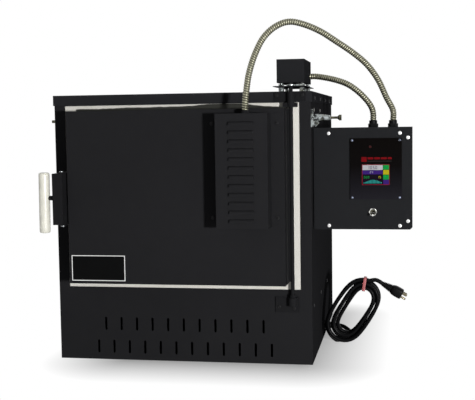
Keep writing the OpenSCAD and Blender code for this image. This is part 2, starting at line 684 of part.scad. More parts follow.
lead_path = smooth(concat([gland + [gland_l - 5.8, 0, 0], gland + [gland_l + 4, 0, 0]],
    lead_route, [coil_path[0]]), 3);
tail_path = smooth(concat([coil_last], tail_route,
    [plug_at, plug_at + 3.8 * [sin(plug_turn), 0, cos(plug_turn)]]), 3);
echo(cord_length = route_sum(coil_path) + route_sum(lead_path) + route_sum(tail_path));

module cord_lead() color([0.05, 0.05, 0.05])
    sweep(lead_path, [for (q = lead_path) cord_r], [0, 0, 1], 8);

module cord_tail() color([0.05, 0.05, 0.05])
    sweep(tail_path, [for (q = tail_path) cord_r], [0, 1, 0], 8);

// band round the loops, near the top of the coil
module cord_tie() color([0.8, 0.25, 0.25]) {
    high = coil_turns * coil_step + cord_d + 1;
    deep = coil_depth + cord_d + 1;
    translate(coil_place(tie_at, -cord_r - 0.5, 0))
        rotate([0, coil_tilt - 90 - tie_normal, 0]) difference() {
            translate([-high - tie_t, -deep / 2 - tie_t, -tie_w / 2])
                cube([high + 2 * tie_t, deep + 2 * tie_t, tie_w]);
            translate([-high, -deep / 2, -tie_w]) cube([high, deep, 2 * tie_w]);
        }
}

module plug_body() color([0.05, 0.05, 0.05]) translate(plug_at) rotate([0, plug_turn, 0])
    difference() {
        union() {
            cylinder(h = 18, r1 = cord_r + 1, r2 = 9);
            translate([0, 0, 18]) cylinder(h = 5, r1 = 9, r2 = 12.5);
            intersection() {
                translate([0, 0, 23]) cylinder(h = 17, r = 12.5);
                translate([-11, -13, 20]) cube([22, 26, 20]);
            }
        }
        translate([0, 0, -1]) cylinder(h = 5, r = cord_r + 0.2);
    }

module plug_blades() color([0.8, 0.75, 0.6]) translate(plug_at) rotate([0, plug_turn, 0]) {
    for (y = [-6.35, 6.35]) translate([-6, y - 0.8, 40]) cube([6.4, 1.6, 17]);
    translate([6, 0, 40]) cylinder(h = 19, r = 2.4);
}

module door_pan() color([0.13, 0.13, 0.15]) difference() {
    span([-door_x, door_y, door_z], [door_x, door_back, door_top]);
    span([-door_x + sheet, door_y + sheet, door_z + sheet], [door_x - sheet, front_y, door_top - sheet]);
}

module door_bricks() color([0.9, 0.89, 0.84]) difference() {
    span([-door_x + sheet, door_y + sheet, door_z + sheet], [door_x - sheet, door_brick_back, door_top - sheet]);
    for (z = door_rows) rod_x([-door_element_x - 1, door_brick_back - groove_in, door_mid + z],
        2 * door_element_x + 2, groove_r);
}

module door_elements() color([0.45, 0.4, 0.36]) for (z = door_rows)
    rod_x([-door_element_x, door_brick_back - groove_in, door_mid + z], 2 * door_element_x, element_r);

module hinge_leaf() color([0.13, 0.13, 0.15]) difference() {
    union() {
        span([door_x, hinge_y + 3 - leaf_d, door_z + leaf_end], [door_x + leaf_t, hinge_y + 3, door_top - leaf_end]);
        span([door_x, hinge_y - 2, door_z + leaf_end], [hinge_x, hinge_y + 2, door_top - leaf_end]);
    }
    rod_z([hinge_x, hinge_y, 0], case_h, hinge_r + 0.02);
}

module hinge_rod() color([0.16, 0.16, 0.18]) {
    rod_z([hinge_x, hinge_y, rod_low], rod_high - rod_low, hinge_r);
    rod_z([hinge_x, hinge_y, low_lug_z + low_lug_h + rest_gap], 6, collar_r);
}

module cam_arm() color([0.78, 0.8, 0.8]) translate([hinge_x, hinge_y, cam_z])
    difference() {
        linear_extrude(cam_t) union() {
            circle(r = 9);
            translate([0, -4]) square([24, 8]);
            translate([8, 0]) square([10, 17]);
        }
        translate([0, 0, -1]) cylinder(h = cam_t + 2, r = hinge_r + 0.02);
    }

// pressed hood over a slot, open below
module louvre_hood(z) translate([cover_mid_x - louvre_w / 2, cover_y, z]) difference() {
    intersection() {
        rotate([0, 90, 0]) cylinder(h = louvre_w, r = louvre_r);
        translate([0, -louvre_r, -1]) cube([louvre_w, louvre_r, louvre_r + 1]);
    }
    translate([sheet, 0, 0]) rotate([0, 90, 0]) cylinder(h = louvre_w - 2 * sheet, r = louvre_r - sheet);
}

module element_cover() color([0.13, 0.13, 0.15]) {
    difference() {
        union() {
            span([cover_x, cover_y, cover_z], [cover_x + cover_w, door_y, cover_z + cover_h]);
            span([cover_x - left_flange, door_y - sheet, cover_z], [door_x, door_y, cover_z + cover_h]);
        }
        span([cover_x + sheet, cover_y + sheet, cover_z + sheet],
            [cover_x + cover_w - sheet, door_y + 1, cover_z + cover_h - sheet]);
        for (k = [0 : louvre_count - 1]) let (z = louvre_z + (k - (louvre_count - 1) / 2) * louvre_pitch)
            span([cover_mid_x - louvre_w / 2 + sheet, cover_y - 1, z - 1],
                [cover_mid_x + louvre_w / 2 - sheet, cover_y + sheet + 1, z + louvre_r - sheet]);
        rod_z([entry_x, entry_y, cover_z + cover_h - 3], 6, conduit_bore);
        for (p = cover_screw) hole_y([p[0], door_y - sheet, p[1]]);
    }
    for (k = [0 : louvre_count - 1])
        louvre_hood(louvre_z + (k - (louvre_count - 1) / 2) * louvre_pitch);
    difference() {
        rod_z([entry_x, entry_y, cover_z + cover_h], ring_t, conduit_r + 2);
        rod_z([entry_x, entry_y, cover_z + cover_h - 1], ring_t + 2, conduit_r + fit);
    }
}

module door_screws() color([0.22, 0.22, 0.24]) for (p = cover_screw)
    screw_y([p[0], door_y - sheet, p[1]]);

module data_plate() color([0.1, 0.1, 0.11])
    span([-door_x + 5, door_y - 0.8, door_z + 6], [-door_x + 123, door_y, door_z + 61]);

// zinc bracket on the door's side with a lug above and below the lever
module latch_bracket() color([0.78, 0.8, 0.8]) difference() {
    union() {
        span([-door_x - lug_t, door_y + 4, lever_low - fit - lug_t],
            [-door_x, door_y + 40, lever_high + fit + lug_t]);
        for (z = [lever_low - fit - lug_t, lever_high + fit]) {
            span([pivot_x - 6, pivot_y, z], [-door_x, door_y + 40, z + lug_t]);
            rod_z([pivot_x, pivot_y, z], lug_t, 7);
        }
    }
    rod_z([pivot_x, pivot_y, lever_low - 10], lever_h + 20, pin_r + 0.02);
}

module latch_pin() color([0.8, 0.82, 0.82]) {
    low = lever_low - fit - lug_t - 0.2;
    high = lever_high + fit + lug_t + 0.2;
    rod_z([pivot_x, pivot_y, low], high - low, pin_r);
    rod_z([pivot_x, pivot_y, low - 2], 2, pin_r + 1.6);
    rod_z([pivot_x, pivot_y, high], 2, pin_r + 1.6);
}

// channel lever, open at the back, with its tongue and the stud that holds the grip
module latch_lever() color([0.12, 0.12, 0.13]) difference() {
    union() {
        difference() {
            span([lever_x, lever_y, lever_low], [lever_x + lever_w, lever_y + lever_d, lever_high]);
            span([lever_x + wall, lever_y + wall, lever_low + wall],
                [lever_x + lever_w - wall, lever_y + lever_d + 1, lever_high - wall]);
        }
        span([tongue_x, lever_y + 1, latch_z - tongue_h / 2], [tongue_x + tongue_t, front_y - 8, latch_z + tongue_h / 2]);
        rod_x([grip_x, pivot_y - 3, latch_z + 2], lever_x + 1 - grip_x, 4.9);
    }
    rod_z([pivot_x, pivot_y, lever_low - 1], lever_h + 2, pin_r + 0.05);
}

module handle_grip() color([0.93, 0.92, 0.84]) difference() {
    translate([grip_x, pivot_y - 3, grip_low]) union() {
        cylinder(h = grip_l, r = grip_d / 2 - 1.2);
        translate([0, 0, 1.2]) cylinder(h = grip_l - 2.4, r = grip_d / 2);
    }
    rod_x([grip_x - 0.1, pivot_y - 3, latch_z + 2], grip_d, 5);
}

base_pan();
case_wrap();
case_front();
top_cap();
case_screws();
brick_shelf();
fibre_blanket();
chamber_floor();
chamber_roof();
chamber_left_wall();
chamber_right_wall();
chamber_back_wall();
chamber_elements();
thermocouple();
hinge_bracket_top();
hinge_bracket_bottom();
switch_plate();
switch_bolts();
switch_base();
switch_cover();
limit_switch();
side_clip();
side_bolts();
control_box();
box_spacers();
control_panel();
panel_screws();
display_bezel();
bezel_screws();
touch_screen();
controller_board();
relay();
status_lamp();
toggle_switch();
toggle_nut();
toggle_lever();
conduit_fittings();
switch_conduit();
door_conduit();
catch_plate();
strain_relief();
cord_lead();
cord_coil();
cord_tie();
cord_tail();
plug_body();
plug_blades();
door_pan();
door_bricks();
door_elements();
hinge_leaf();
hinge_rod();
cam_arm();
element_cover();
door_screws();
data_plate();
latch_bracket();
latch_pin();
latch_lever();
handle_grip();
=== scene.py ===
import math
import bpy
import bmesh
from mathutils import Matrix, Vector


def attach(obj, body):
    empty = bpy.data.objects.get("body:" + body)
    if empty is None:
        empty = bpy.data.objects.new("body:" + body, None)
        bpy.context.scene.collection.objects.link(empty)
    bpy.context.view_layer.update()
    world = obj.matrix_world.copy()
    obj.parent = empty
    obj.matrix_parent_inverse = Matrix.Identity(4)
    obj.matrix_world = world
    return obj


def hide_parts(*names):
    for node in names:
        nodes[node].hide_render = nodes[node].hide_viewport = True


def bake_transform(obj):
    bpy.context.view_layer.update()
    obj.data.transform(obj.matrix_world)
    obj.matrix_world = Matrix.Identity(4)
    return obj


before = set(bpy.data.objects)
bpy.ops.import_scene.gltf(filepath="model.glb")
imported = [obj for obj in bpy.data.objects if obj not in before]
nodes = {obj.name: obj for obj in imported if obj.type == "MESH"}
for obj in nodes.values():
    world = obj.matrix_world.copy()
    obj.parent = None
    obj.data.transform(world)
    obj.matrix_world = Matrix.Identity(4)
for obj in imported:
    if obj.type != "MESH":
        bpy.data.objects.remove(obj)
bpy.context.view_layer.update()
mm = 0.001
print("stage: frame loaded")


def fromSrgb(*rgb):
    out = [v / 255 / 12.92 if v < 10.3 else ((v / 255 + 0.055) / 1.055) ** 2.4 for v in rgb]
    return (*out, 1.0)


def scaled(tone, factor, extra=0.0):
    # a tone made darker or lighter
    return [min(1, c * factor + extra) for c in tone[:3]] + [1]


# camera at the photograph's angle
camera = {"place": (0.48172, -2.32335, 0.52061), "yaw": 9.951, "pitch": 4.627, "roll": -0.819, "lens": 74.34}
yaw, pitch, roll = (math.radians(camera[k]) for k in ("yaw", "pitch", "roll"))
ahead = Vector((-math.sin(yaw) * math.cos(pitch), math.cos(yaw) * math.cos(pitch), -math.sin(pitch)))
right = ahead.cross(Vector((0, 0, 1))).normalized()
up = right.cross(ahead)
tiltedRight = right * math.cos(roll) + up * math.sin(roll)
tiltedUp = up * math.cos(roll) - right * math.sin(roll)
turn = Matrix((tiltedRight, tiltedUp, -ahead)).transposed().to_4x4()
cameraData = bpy.data.cameras.new("camera")
cameraData.sensor_width = 36
cameraData.lens = camera["lens"]
cameraData.clip_start = 0.05
cameraObject = bpy.data.objects.new("camera", cameraData)
cameraObject.matrix_world = Matrix.Translation(camera["place"]) @ turn
bpy.context.collection.objects.link(cameraObject)
bpy.context.scene.camera = cameraObject


# routes of the cord and the conduits, in millimetres, as the source has them
def catmull(points, steps):
    out = []
    for i in range(len(points) - 1):
        a, b, c, d = (points[max(0, min(len(points) - 1, i + k))] for k in (-1, 0, 1, 2))
        for k in range(steps):
            t = k / steps
            out.append(tuple(0.5 * (2 * q + (r - p) * t + (2 * p - 5 * q + 4 * r - s) * t * t
                                    + (3 * q - p - 3 * r + s) * t ** 3) for p, q, r, s in zip(a, b, c, d)))
    return out + [tuple(points[-1])]


def inMetres(points):
    return [tuple(v * mm for v in p) for p in points]


def routeLength(points):
    return sum((Vector(a) - Vector(b)).length for a, b in zip(points, points[1:]))


# the coil lies on a long, leaning oval; its strands are drawn together at the tie
tie = {"at": 22, "normal": 24, "wide": 6.4, "thick": 1.2, "play": 0.25, "edge": 0.2, "round": 0.35, "hollow": 0.12,
       "room": 0.5, "power": 7, "sides": 56}
coil = {"mid": (355, -58, 75.5), "tilt": 33, "core": 36, "radius": 48, "step": 12, "turns": 2,
        "lean": 0.1, "drawn": 0.16, "depth": 11, "start": 185, "climb": 175, "rings": 40, "bend": 0.15}


def coilPlace(angle, inset, depth):
    inset *= 1 - coil["drawn"] * max(0.0, math.cos(math.radians(angle - tie["at"]))) ** 2
    c, r, t = math.cos(math.radians(angle)), coil["radius"] - inset, math.radians(coil["tilt"])
    u = coil["core"] * c / math.sqrt(c * c + coil["bend"]) + r * c + coil["lean"] * inset
    v = r * math.sin(math.radians(angle)) - coil["lean"] * inset
    x, y, z = coil["mid"]
    return (x + u * math.sin(t) - v * math.cos(t), y + depth, z + u * math.cos(t) + v * math.sin(t))


def coilPath():
    inner = 360 * coil["turns"]
    outer = inner + coil["climb"]
    whole = outer + inner
    count = math.ceil(whole / 360 * coil["rings"])
    points = []
    for k in range(count + 1):
        g = whole * k / count
        inset = g / 360 if g <= inner else (whole - g) / 360 if g >= outer else coil["turns"]
        layer = 0 if g <= inner else 1 if g >= outer else (g - inner) / coil["climb"]
        points.append(coilPlace(coil["start"] - g, inset * coil["step"], coil["depth"] * (0.5 - layer)))
    return points


cord = {"radius": 4.75, "exit": (300.2, 25, 24), "plug": (422, -62, 141), "plugTurn": 119, "sides": 14}
plugTurn = math.radians(cord["plugTurn"])
plugWay = Vector((math.sin(plugTurn), 0, math.cos(plugTurn)))
coiled = coilPath()
cordPath = catmull([cord["exit"], (310, 25, 24), (326, 24, 21), (342, 14, 12), (352, -4, 6), (353, -24, 4.9),
                    (343, -42, 5.1), (328, -51, 5.4), coiled[0]], 7)[:-1] + coiled + catmull(
    [coiled[-1], (405, -63, 150), (415, -62.5, 146), cord["plug"],
     tuple(Vector(cord["plug"]) + plugWay * 3.8)], 6)[1:]

doorRoute = catmull([(157, -367.5, 535.3), (157, -367.5, 555), (160, -365, 585), (164, -358, 615),
                     (174, -346, 652), (190, -332, 687), (212, -317, 710), (238, -303, 721), (266, -289, 717),
                     (300, -271, 703), (333, -251, 682), (365, -233, 660), (394, -217, 635), (417, -204, 603),
                     (434, -195, 566), (448, -191, 538), (448, -191, 513.3)], 8)
switchRoute = catmull([(267.3, -150, 615), (279, -151, 615), (299.5, -158, 611.8), (326, -168, 605.2),
                       (351, -178, 595.5), (372.7, -186, 580.2), (391, -190, 562), (402, -191, 546),
                       (406, -191, 532), (406, -191, 513.3)], 8)


# shader and geometry nodes, written as Python expressions
class Wire:
    # a socket that adds a Math node for each sum written with it
    def __init__(self, bench, out):
        self.bench, self.out = bench, out

    def math(self, operation, *others):
        node = self.bench.tree.nodes.new("ShaderNodeMath")
        node.operation = operation
        for socket, value in zip(node.inputs, (self, *others)):
            self.bench.feed(socket, value)
        return Wire(self.bench, node.outputs[0])

    def __add__(self, other): return self.math("ADD", other)
    def __radd__(self, other): return self.math("ADD", other)
    def __sub__(self, other): return self.math("SUBTRACT", other)
    def __rsub__(self, other): return (self * -1).math("ADD", other)
    def __mul__(self, other): return self.math("MULTIPLY", other)
    def __rmul__(self, other): return self.math("MULTIPLY", other)
    def __truediv__(self, other): return self.math("DIVIDE", other)
    def __pow__(self, other): return self.math("POWER", other)
    def held(self): return self.math("MAXIMUM", 0.0).math("MINIMUM", 1.0)


class Bench:
    # one node tree, for a material or for geometry
    def __init__(self, tree):
        self.tree = tree
        tree.nodes.clear()

    def feed(self, socket, value):
        if isinstance(value, Wire):
            self.tree.links.new(value.out, socket)
        else:
            socket.default_value = value

    def add(self, kind, settings=None, feeds=None, out=0):
        node = self.tree.nodes.new(kind)
        for key, value in (settings or {}).items():
            if key == "stops":
                ramp = node.color_ramp
                while len(ramp.elements) < len(value):
                    ramp.elements.new(0.5)
                for stop, (at, colour) in zip(ramp.elements, value):
                    stop.position, stop.color = at, colour
            else:
                setattr(node, key, value)
        for key, value in (feeds or {}).items():
            self.feed(node.inputs[key], value)
        return Wire(self, node.outputs[out])

    def noise(self, where, scale, detail=2.0, rough=0.5):
        return self.add("ShaderNodeTexNoise", {}, {"Vector": where, "Scale": scale, "Detail": detail,
                                                    "Roughness": rough})

    def blendColour(self, share, a, b):
        return self.add("ShaderNodeMix", {"data_type": "RGBA"}, {0: share, 6: a, 7: b}, out=2)

    def bump(self, height, strength, distance, normal=None):
        feeds = {"Height": height, "Strength": strength, "Distance": distance}
        if normal is not None:
            feeds["Normal"] = normal
        return self.add("ShaderNodeBump", {}, feeds)

    def apart(self, where):
        node = self.tree.nodes.new("ShaderNodeSeparateXYZ")
        self.feed(node.inputs[0], where)
        return [Wire(self, o) for o in node.outputs]


def newMaterial(name):
    material = bpy.data.materials.new(name)
    material.use_nodes = True
    bench = Bench(material.node_tree)
    where = bench.add("ShaderNodeTexCoord", out=3)
    return material, bench, where


def surface(bench, base, rough, metal=0.0, normal=None, **fixed):
    node = bench.tree.nodes.new("ShaderNodeBsdfPrincipled")
    bench.feed(node.inputs["Base Color"], base)
    bench.feed(node.inputs["Roughness"], rough)
    bench.feed(node.inputs["Metallic"], metal)
    if normal is not None:
        bench.feed(node.inputs["Normal"], normal)
    for key, value in fixed.items():
        bench.feed(node.inputs[key.replace("_", " ")], value)
    end = bench.tree.nodes.new("ShaderNodeOutputMaterial")
    bench.tree.links.new(node.outputs[0], end.inputs[0])


def roundedEdges(bench, radius):
    # normal that turns over a sharp bend, and a mask that is 1 along that bend
    soft = bench.add("ShaderNodeBevel", {"samples": 4}, {"Radius": radius})
    flat = bench.add("ShaderNodeNewGeometry", out=1)
    facing = bench.add("ShaderNodeVectorMath", {"operation": "DOT_PRODUCT"}, {0: soft, 1: flat}, out=1)
    return soft, ((1 - facing) * 9).held()


def powderCoat(name, tone, gloss, peel=0.35, edge=1.1, sheen=0.0):
    # baked powder paint: orange peel, worn edges and a little dust
    material, bench, where = newMaterial(name)
    soft, worn = roundedEdges(bench, edge * mm)
    drift = bench.noise(where, 5.0, 3.0)
    cloud = bench.noise(where, 38.0, 4.0, 0.6)
    grain = bench.noise(where, 1500.0, 2.0)
    skin = bench.noise(where, 620.0, 2.0, 0.4)
    colour = bench.blendColour((drift * 0.7 + cloud * 0.5 - 0.1).held(), scaled(tone, 0.86), scaled(tone, 1.14))
    colour = bench.blendColour(worn * 0.35 * cloud, colour, scaled(tone, 2.0, 0.004))
    dust = (grain - 0.62) * 2.0
    colour = bench.blendColour((dust * cloud * 0.12).held(), colour, (0.16, 0.16, 0.165, 1))
    rough = gloss + (grain - 0.5) * 0.10 + (cloud - 0.5) * 0.10
    normal = bench.bump(skin + grain * 0.3, peel, 0.12 * mm, soft)
    surface(bench, colour, rough, 0.0, normal, Specular_IOR_Level=sheen)
    return material


def plating(name, tone, gloss, tint=None, scratch=0.25, edge=0.5, low=0.82, contrast=1.0):
    # zinc, nickel or plain steel with fine rubbing marks and random light and dark patches; where low is small and
    # contrast is high, as on the zinc finishes, the patches are painted reflection of a dark room
    material, bench, where = newMaterial(name)
    soft, worn = roundedEdges(bench, edge * mm)
    cloud = bench.noise(where, 90.0, 3.0)
    drawn = bench.add("ShaderNodeMapping", {}, {"Vector": where, "Scale": (1.0, 1.0, 14.0)})
    lines = bench.noise(drawn, 420.0, 2.0)
    mottleAndReflection = ((bench.noise(where, 130.0, 2.0) - 0.5) * contrast + 0.5).held()
    colour = bench.blendColour(mottleAndReflection, scaled(tone, low), tone)
    if tint:
        colour = bench.blendColour((bench.noise(where, 55.0, 2.0) - 0.5).held() * 1.6, colour, tint)
    colour = bench.blendColour(worn * 0.4, colour, (0.92, 0.92, 0.9, 1))
    rough = gloss + (cloud - 0.5) * 0.16 + (lines - 0.5) * 0.12
    surface(bench, colour, rough, 1.0, bench.bump(lines, scratch, 0.03 * mm, soft))
    return material


def moulded(name, tone, gloss, grain=0.2, edge=0.8, scale=1100.0, shine=0.5):
    # plastic or smooth dark metal with a fine, even grain
    material, bench, where = newMaterial(name)
    soft, worn = roundedEdges(bench, edge * mm)
    fine = bench.noise(where, scale, 2.0)
    cloud = bench.noise(where, 60.0, 3.0)
    colour = bench.blendColour(cloud, scaled(tone, 0.8), tone)
    colour = bench.blendColour(worn * 0.25, colour, scaled(tone, 1.5, 0.01))
    surface(bench, colour, gloss + (fine - 0.5) * 0.12 + (cloud - 0.5) * 0.08, 0.0,
            bench.bump(fine, grain, 0.06 * mm, soft), Specular_IOR_Level=shine)
    return material


def softBrick(name, tone, roofShade=None):
    # dry insulating brick with pores and a few crumbled spots, and with a near-black band of painted shade where the
    # band's settings are given
    material, bench, where = newMaterial(name)
    pores = bench.add("ShaderNodeTexVoronoi", {}, {"Vector": where, "Scale": 520.0}, out=0)
    holes = (0.34 - pores).held() * 2.4
    cloud = bench.noise(where, 16.0, 4.0, 0.6)
    speck = bench.noise(where, 240.0, 3.0)
    colour = bench.blendColour(cloud, scaled(tone, 0.93), tone)
    colour = bench.blendColour((holes * 0.75).held(), colour, (0.36, 0.31, 0.25, 1))
    colour = bench.blendColour(((speck - 0.64) * 4).held(), colour, (0.55, 0.42, 0.28, 1))
    if roofShade:
        x, y, z = bench.apart(where)
        crest = bench.add("ShaderNodeFloatCurve", {}, {"Value": (x - roofShade["left"]) / roofShade["span"]})
        points = crest.out.node.mapping.curves[0].points
        points[0].location, points[1].location = roofShade["crest"][0], roofShade["crest"][-1]
        for at in roofShade["crest"][1:-1]:
            points.new(*at)
        crest.out.node.mapping.update()
        ragged = (bench.noise(where, 60.0) - 0.5) * roofShade["ragged"]
        low = z - crest * roofShade["rise"] - roofShade["base"] + ragged
        paintedShade = (1 - low / roofShade["soft"]).held() * (1 - (y - roofShade["front"]) / roofShade["deep"]).held()
        paintedShade = paintedShade * ((-roofShade["left"] - x.math("ABSOLUTE")) / roofShade["ends"]).held()
        paintedShade = paintedShade * ((z - roofShade["foot"]) / roofShade["fade"] + (cloud - 0.5) * 0.8).held()
        # painted shade: the band is blended to near black
        colour = bench.blendColour(paintedShade * 0.985, colour, (0.009, 0.0095, 0.006, 1))
    height = speck * 0.6 - holes * 0.9 + cloud * 0.8
    surface(bench, colour, 0.92, 0.0, bench.bump(height, 0.7, 0.5 * mm))
    return material


def fibreFelt(name):
    # ceramic blanket with long strands
    material, bench, where = newMaterial(name)
    along = bench.add("ShaderNodeMapping", {}, {"Vector": where, "Scale": (1.0, 1.0, 5.0)})
    strands = bench.noise(along, 300.0, 5.0, 0.7)
    cloud = bench.noise(where, 22.0, 3.0)
    colour = bench.blendColour((strands * 0.6 + cloud * 0.5).held(), (0.62, 0.6, 0.54, 1), (0.86, 0.86, 0.83, 1))
    surface(bench, colour, 0.95, 0.0, bench.bump(strands + cloud, 0.8, 0.9 * mm))
    return material


def woundStrip(name):
    # galvanised strip: a straw tint and fine spangle, with painted shade that turns the grooves near black
    material, bench, where = newMaterial(name)
    groove = bench.add("ShaderNodeAttribute", {"attribute_name": "groove"}, out=2)
    spangle = bench.add("ShaderNodeTexVoronoi", {}, {"Vector": where, "Scale": 260.0}, out=1)
    cloud = bench.noise(where, 45.0, 3.0)
    grey = bench.add("ShaderNodeRGBToBW", {}, {0: spangle})
    colour = bench.blendColour(grey * 0.5 + cloud * 0.3, (0.20, 0.195, 0.14, 1), (0.44, 0.43, 0.325, 1))
    # painted shade: the grooves go near black
    colour = bench.blendColour((groove * 0.96).held(), colour, (0.016, 0.015, 0.010, 1))
    rough = 0.27 + grey * 0.12 + groove * 0.3
    surface(bench, colour, rough, 1.0, bench.bump(bench.noise(where, 700.0), 0.2, 0.04 * mm))
    return material


def elementWire(name):
    # resistance wire with a patchy oxide skin
    material, bench, where = newMaterial(name)
    scale = bench.noise(where, 260.0, 4.0, 0.7)
    colour = bench.blendColour(scale, (0.10, 0.085, 0.075, 1), (0.34, 0.30, 0.27, 1))
    surface(bench, colour, 0.5 + scale * 0.3, 0.55, bench.bump(scale, 0.5, 0.08 * mm))
    return material


def jacket(name, tone, gloss, shine=0.5):
    # cord jacket: faint marks from the extruder and dust in the folds
    material, bench, where = newMaterial(name)
    fine = bench.noise(where, 900.0, 2.0)
    cloud = bench.noise(where, 45.0, 3.0)
    colour = bench.blendColour(cloud, scaled(tone, 0.75), scaled(tone, 1.3))
    surface(bench, colour, gloss + (cloud - 0.5) * 0.2, 0.0, bench.bump(fine, 0.25, 0.06 * mm),
            Specular_IOR_Level=shine)
    return material


def bezelFilm(name, low, high):
    # film whose colour runs from near black at the top to dark violet at the bottom
    material, bench, where = newMaterial(name)
    soft, worn = roundedEdges(bench, 0.7 * mm)
    z = bench.apart(where)[2]
    share = ((z - low) / (high - low)).held()
    stops = [(0.0, fromSrgb(34, 33, 38)), (0.22, fromSrgb(26, 25, 29)), (0.55, fromSrgb(15, 13, 13)),
             (1.0, fromSrgb(14, 12, 11))]
    fade = bench.add("ShaderNodeValToRGB", {"stops": stops}, {0: share})
    fine = bench.noise(where, 1400.0, 2.0)
    surface(bench, bench.blendColour(worn * 0.3, fade, (0.03, 0.03, 0.035, 1)), 0.3 + fine * 0.08, 0.0,
            bench.bump(fine, 0.1, 0.03 * mm, soft), Specular_IOR_Level=0.0)
    return material


def litTiles(name):
    # colours of the screen's picture, from the faces' own attribute
    material, bench, where = newMaterial(name)
    tint = bench.add("ShaderNodeAttribute", {"attribute_name": "tint"}, out=0)
    fine = bench.noise(where, 2600.0, 1.0)
    shade = bench.blendColour(fine * 0.2, tint, (0, 0, 0, 1))
    surface(bench, bench.blendColour(0.65, shade, (0, 0, 0, 1)), 0.25, 0.0, None, Emission_Color=shade,
            Emission_Strength=0.22, Specular_IOR_Level=0.05)
    return material


print("stage: materials")
# painted shade on the roof brick's front: a near-black band over the door, under a wavy line; crest is the line that
# it reaches, left to right
roofShade = {"left": -0.232, "span": 0.464, "base": 0.5455, "rise": 0.012, "soft": 1.6 * mm, "front": -0.275,
          "foot": 0.512, "fade": 0.024, "ragged": 2.5 * mm, "deep": 6 * mm, "ends": 2 * mm,
          "crest": [(0.0, 0.30), (0.134, 0.35), (0.307, 0.48), (0.515, 0.53), (0.61, 0.78), (0.675, 0.95),
                    (0.795, 0.95), (0.818, 0.75), (0.86, 0.48), (0.896, 0.35), (0.95, 0.22), (1.0, 0.10)]}
finishes = {
    "caseBlack": powderCoat("caseBlack", (0.0185, 0.0185, 0.0200, 1), 0.5),
    "capBlack": powderCoat("capBlack", (0.0215, 0.0218, 0.0240, 1), 0.48, 0.4),
    "boxBlack": powderCoat("boxBlack", (0.0182, 0.0187, 0.0203, 1), 0.5, 0.3),
    "bracketBlack": powderCoat("bracketBlack", (0.0140, 0.0140, 0.0152, 1), 0.45, 0.3, 0.8, 0.01),
    "innerSteel": plating("innerSteel", (0.5, 0.51, 0.52, 1), 0.42),
    # zinc finishes: low tones and high contrast make the patches a painted reflection of a dark room
    "zinc": plating("zinc", (0.34, 0.37, 0.37, 1), 0.24, (0.26, 0.26, 0.19, 1), low=0.10, contrast=5.0),
    "blueZinc": plating("blueZinc", (0.20, 0.23, 0.32, 1), 0.3, low=0.25, contrast=4.0),
    "oliveZinc": plating("oliveZinc", (0.10, 0.096, 0.064, 1), 0.3, low=0.2, contrast=4.0),
    "brightZinc": plating("brightZinc", (0.95, 0.95, 0.90, 1), 0.2, low=0.2, contrast=5.0),
    "dullZinc": plating("dullZinc", (0.24, 0.25, 0.26, 1), 0.36, low=0.3, contrast=3.0),
    "whiteSteel": plating("whiteSteel", (0.93, 0.93, 0.92, 1), 0.3, None, 0.15, 0.3),
    "blackOxide": moulded("blackOxide", (0.019, 0.019, 0.020, 1), 0.4, 0.1, 0.4, shine=0.08),
    "nickel": plating("nickel", (0.88, 0.87, 0.84, 1), 0.16, None, 0.1, 0.4),
    "firebrick": softBrick("firebrick", (0.79, 0.77, 0.71, 1)),
    "shadedRoofBrick": softBrick("shadedRoofBrick", (0.79, 0.77, 0.71, 1), roofShade),
    "fibre": fibreFelt("fibre"),
    "elementWire": elementWire("elementWire"),
    "sheath": softBrick("sheath", (0.74, 0.72, 0.66, 1)),
    "blackPlastic": moulded("blackPlastic", (0.006, 0.006, 0.0065, 1), 0.4, shine=0.06),
    "bezelFilm": bezelFilm("bezelFilm", 0.351, 0.480),
    "screenGlass": moulded("screenGlass", (0.012, 0.010, 0.02, 1), 0.12, 0.02, 0.3),
    "litTiles": litTiles("litTiles"),
    "board": moulded("board", (0.02, 0.11, 0.05, 1), 0.4, 0.3),
    "relayCase": moulded("relayCase", (0.6, 0.57, 0.5, 1), 0.45),
    "lampRed": moulded("lampRed", (0.05, 0.012, 0.012, 1), 0.3, 0.05, 0.3, shine=0.05),
    "woundStrip": woundStrip("woundStrip"),
    "cordJacket": jacket("cordJacket", (0.0035, 0.0035, 0.004, 1), 0.34, 0.05),
    "tieRed": jacket("tieRed", (0.46, 0.115, 0.12, 1), 0.5),
    "brass": plating("brass", (0.17, 0.15, 0.10, 1), 0.28, (0.17, 0.17, 0.14, 1)),
    "plateBlack": moulded("plateBlack", (0.0035, 0.0037, 0.0038, 1), 0.3, 0.1, 0.3, shine=0.03),
    "creamGrip": moulded("creamGrip", (0.97, 0.955, 0.84, 1), 0.26, 0.06, 1.4, 300.0),
}


# making pieces
def fromMesh(name, mesh, material, body, replaced=()):
    piece = bpy.data.objects.new(name, mesh)
    bpy.context.collection.objects.link(piece)
    if material:
        mesh.materials.clear()
        mesh.materials.append(material)
    if body:
        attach(piece, body)
    if replaced:
        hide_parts(*replaced)
    return piece


def fromParts(name, verts, faces, material, body, replaced=(), smooth=35):
    mesh = bpy.data.meshes.new(name)
    mesh.from_pydata([tuple(v) for v in verts], [], faces)
    work = bmesh.new()
    work.from_mesh(mesh)
    bmesh.ops.remove_doubles(work, verts=work.verts, dist=1e-6)
    bmesh.ops.recalc_face_normals(work, faces=work.faces)
    work.to_mesh(mesh)
    work.free()
    mesh.shade_smooth()
    mesh.set_sharp_from_angle(angle=math.radians(smooth))
    return fromMesh(name, mesh, material, body, replaced)


def around(count):
    return [2 * math.pi * k / count for k in range(count)]


def joined(parts):
    # vertices and faces of several loose parts as one list each
    verts, faces = [], []
    for v, f in parts:
        faces += [tuple(len(verts) + q for q in face) for face in f]
        verts += v
    return verts, faces


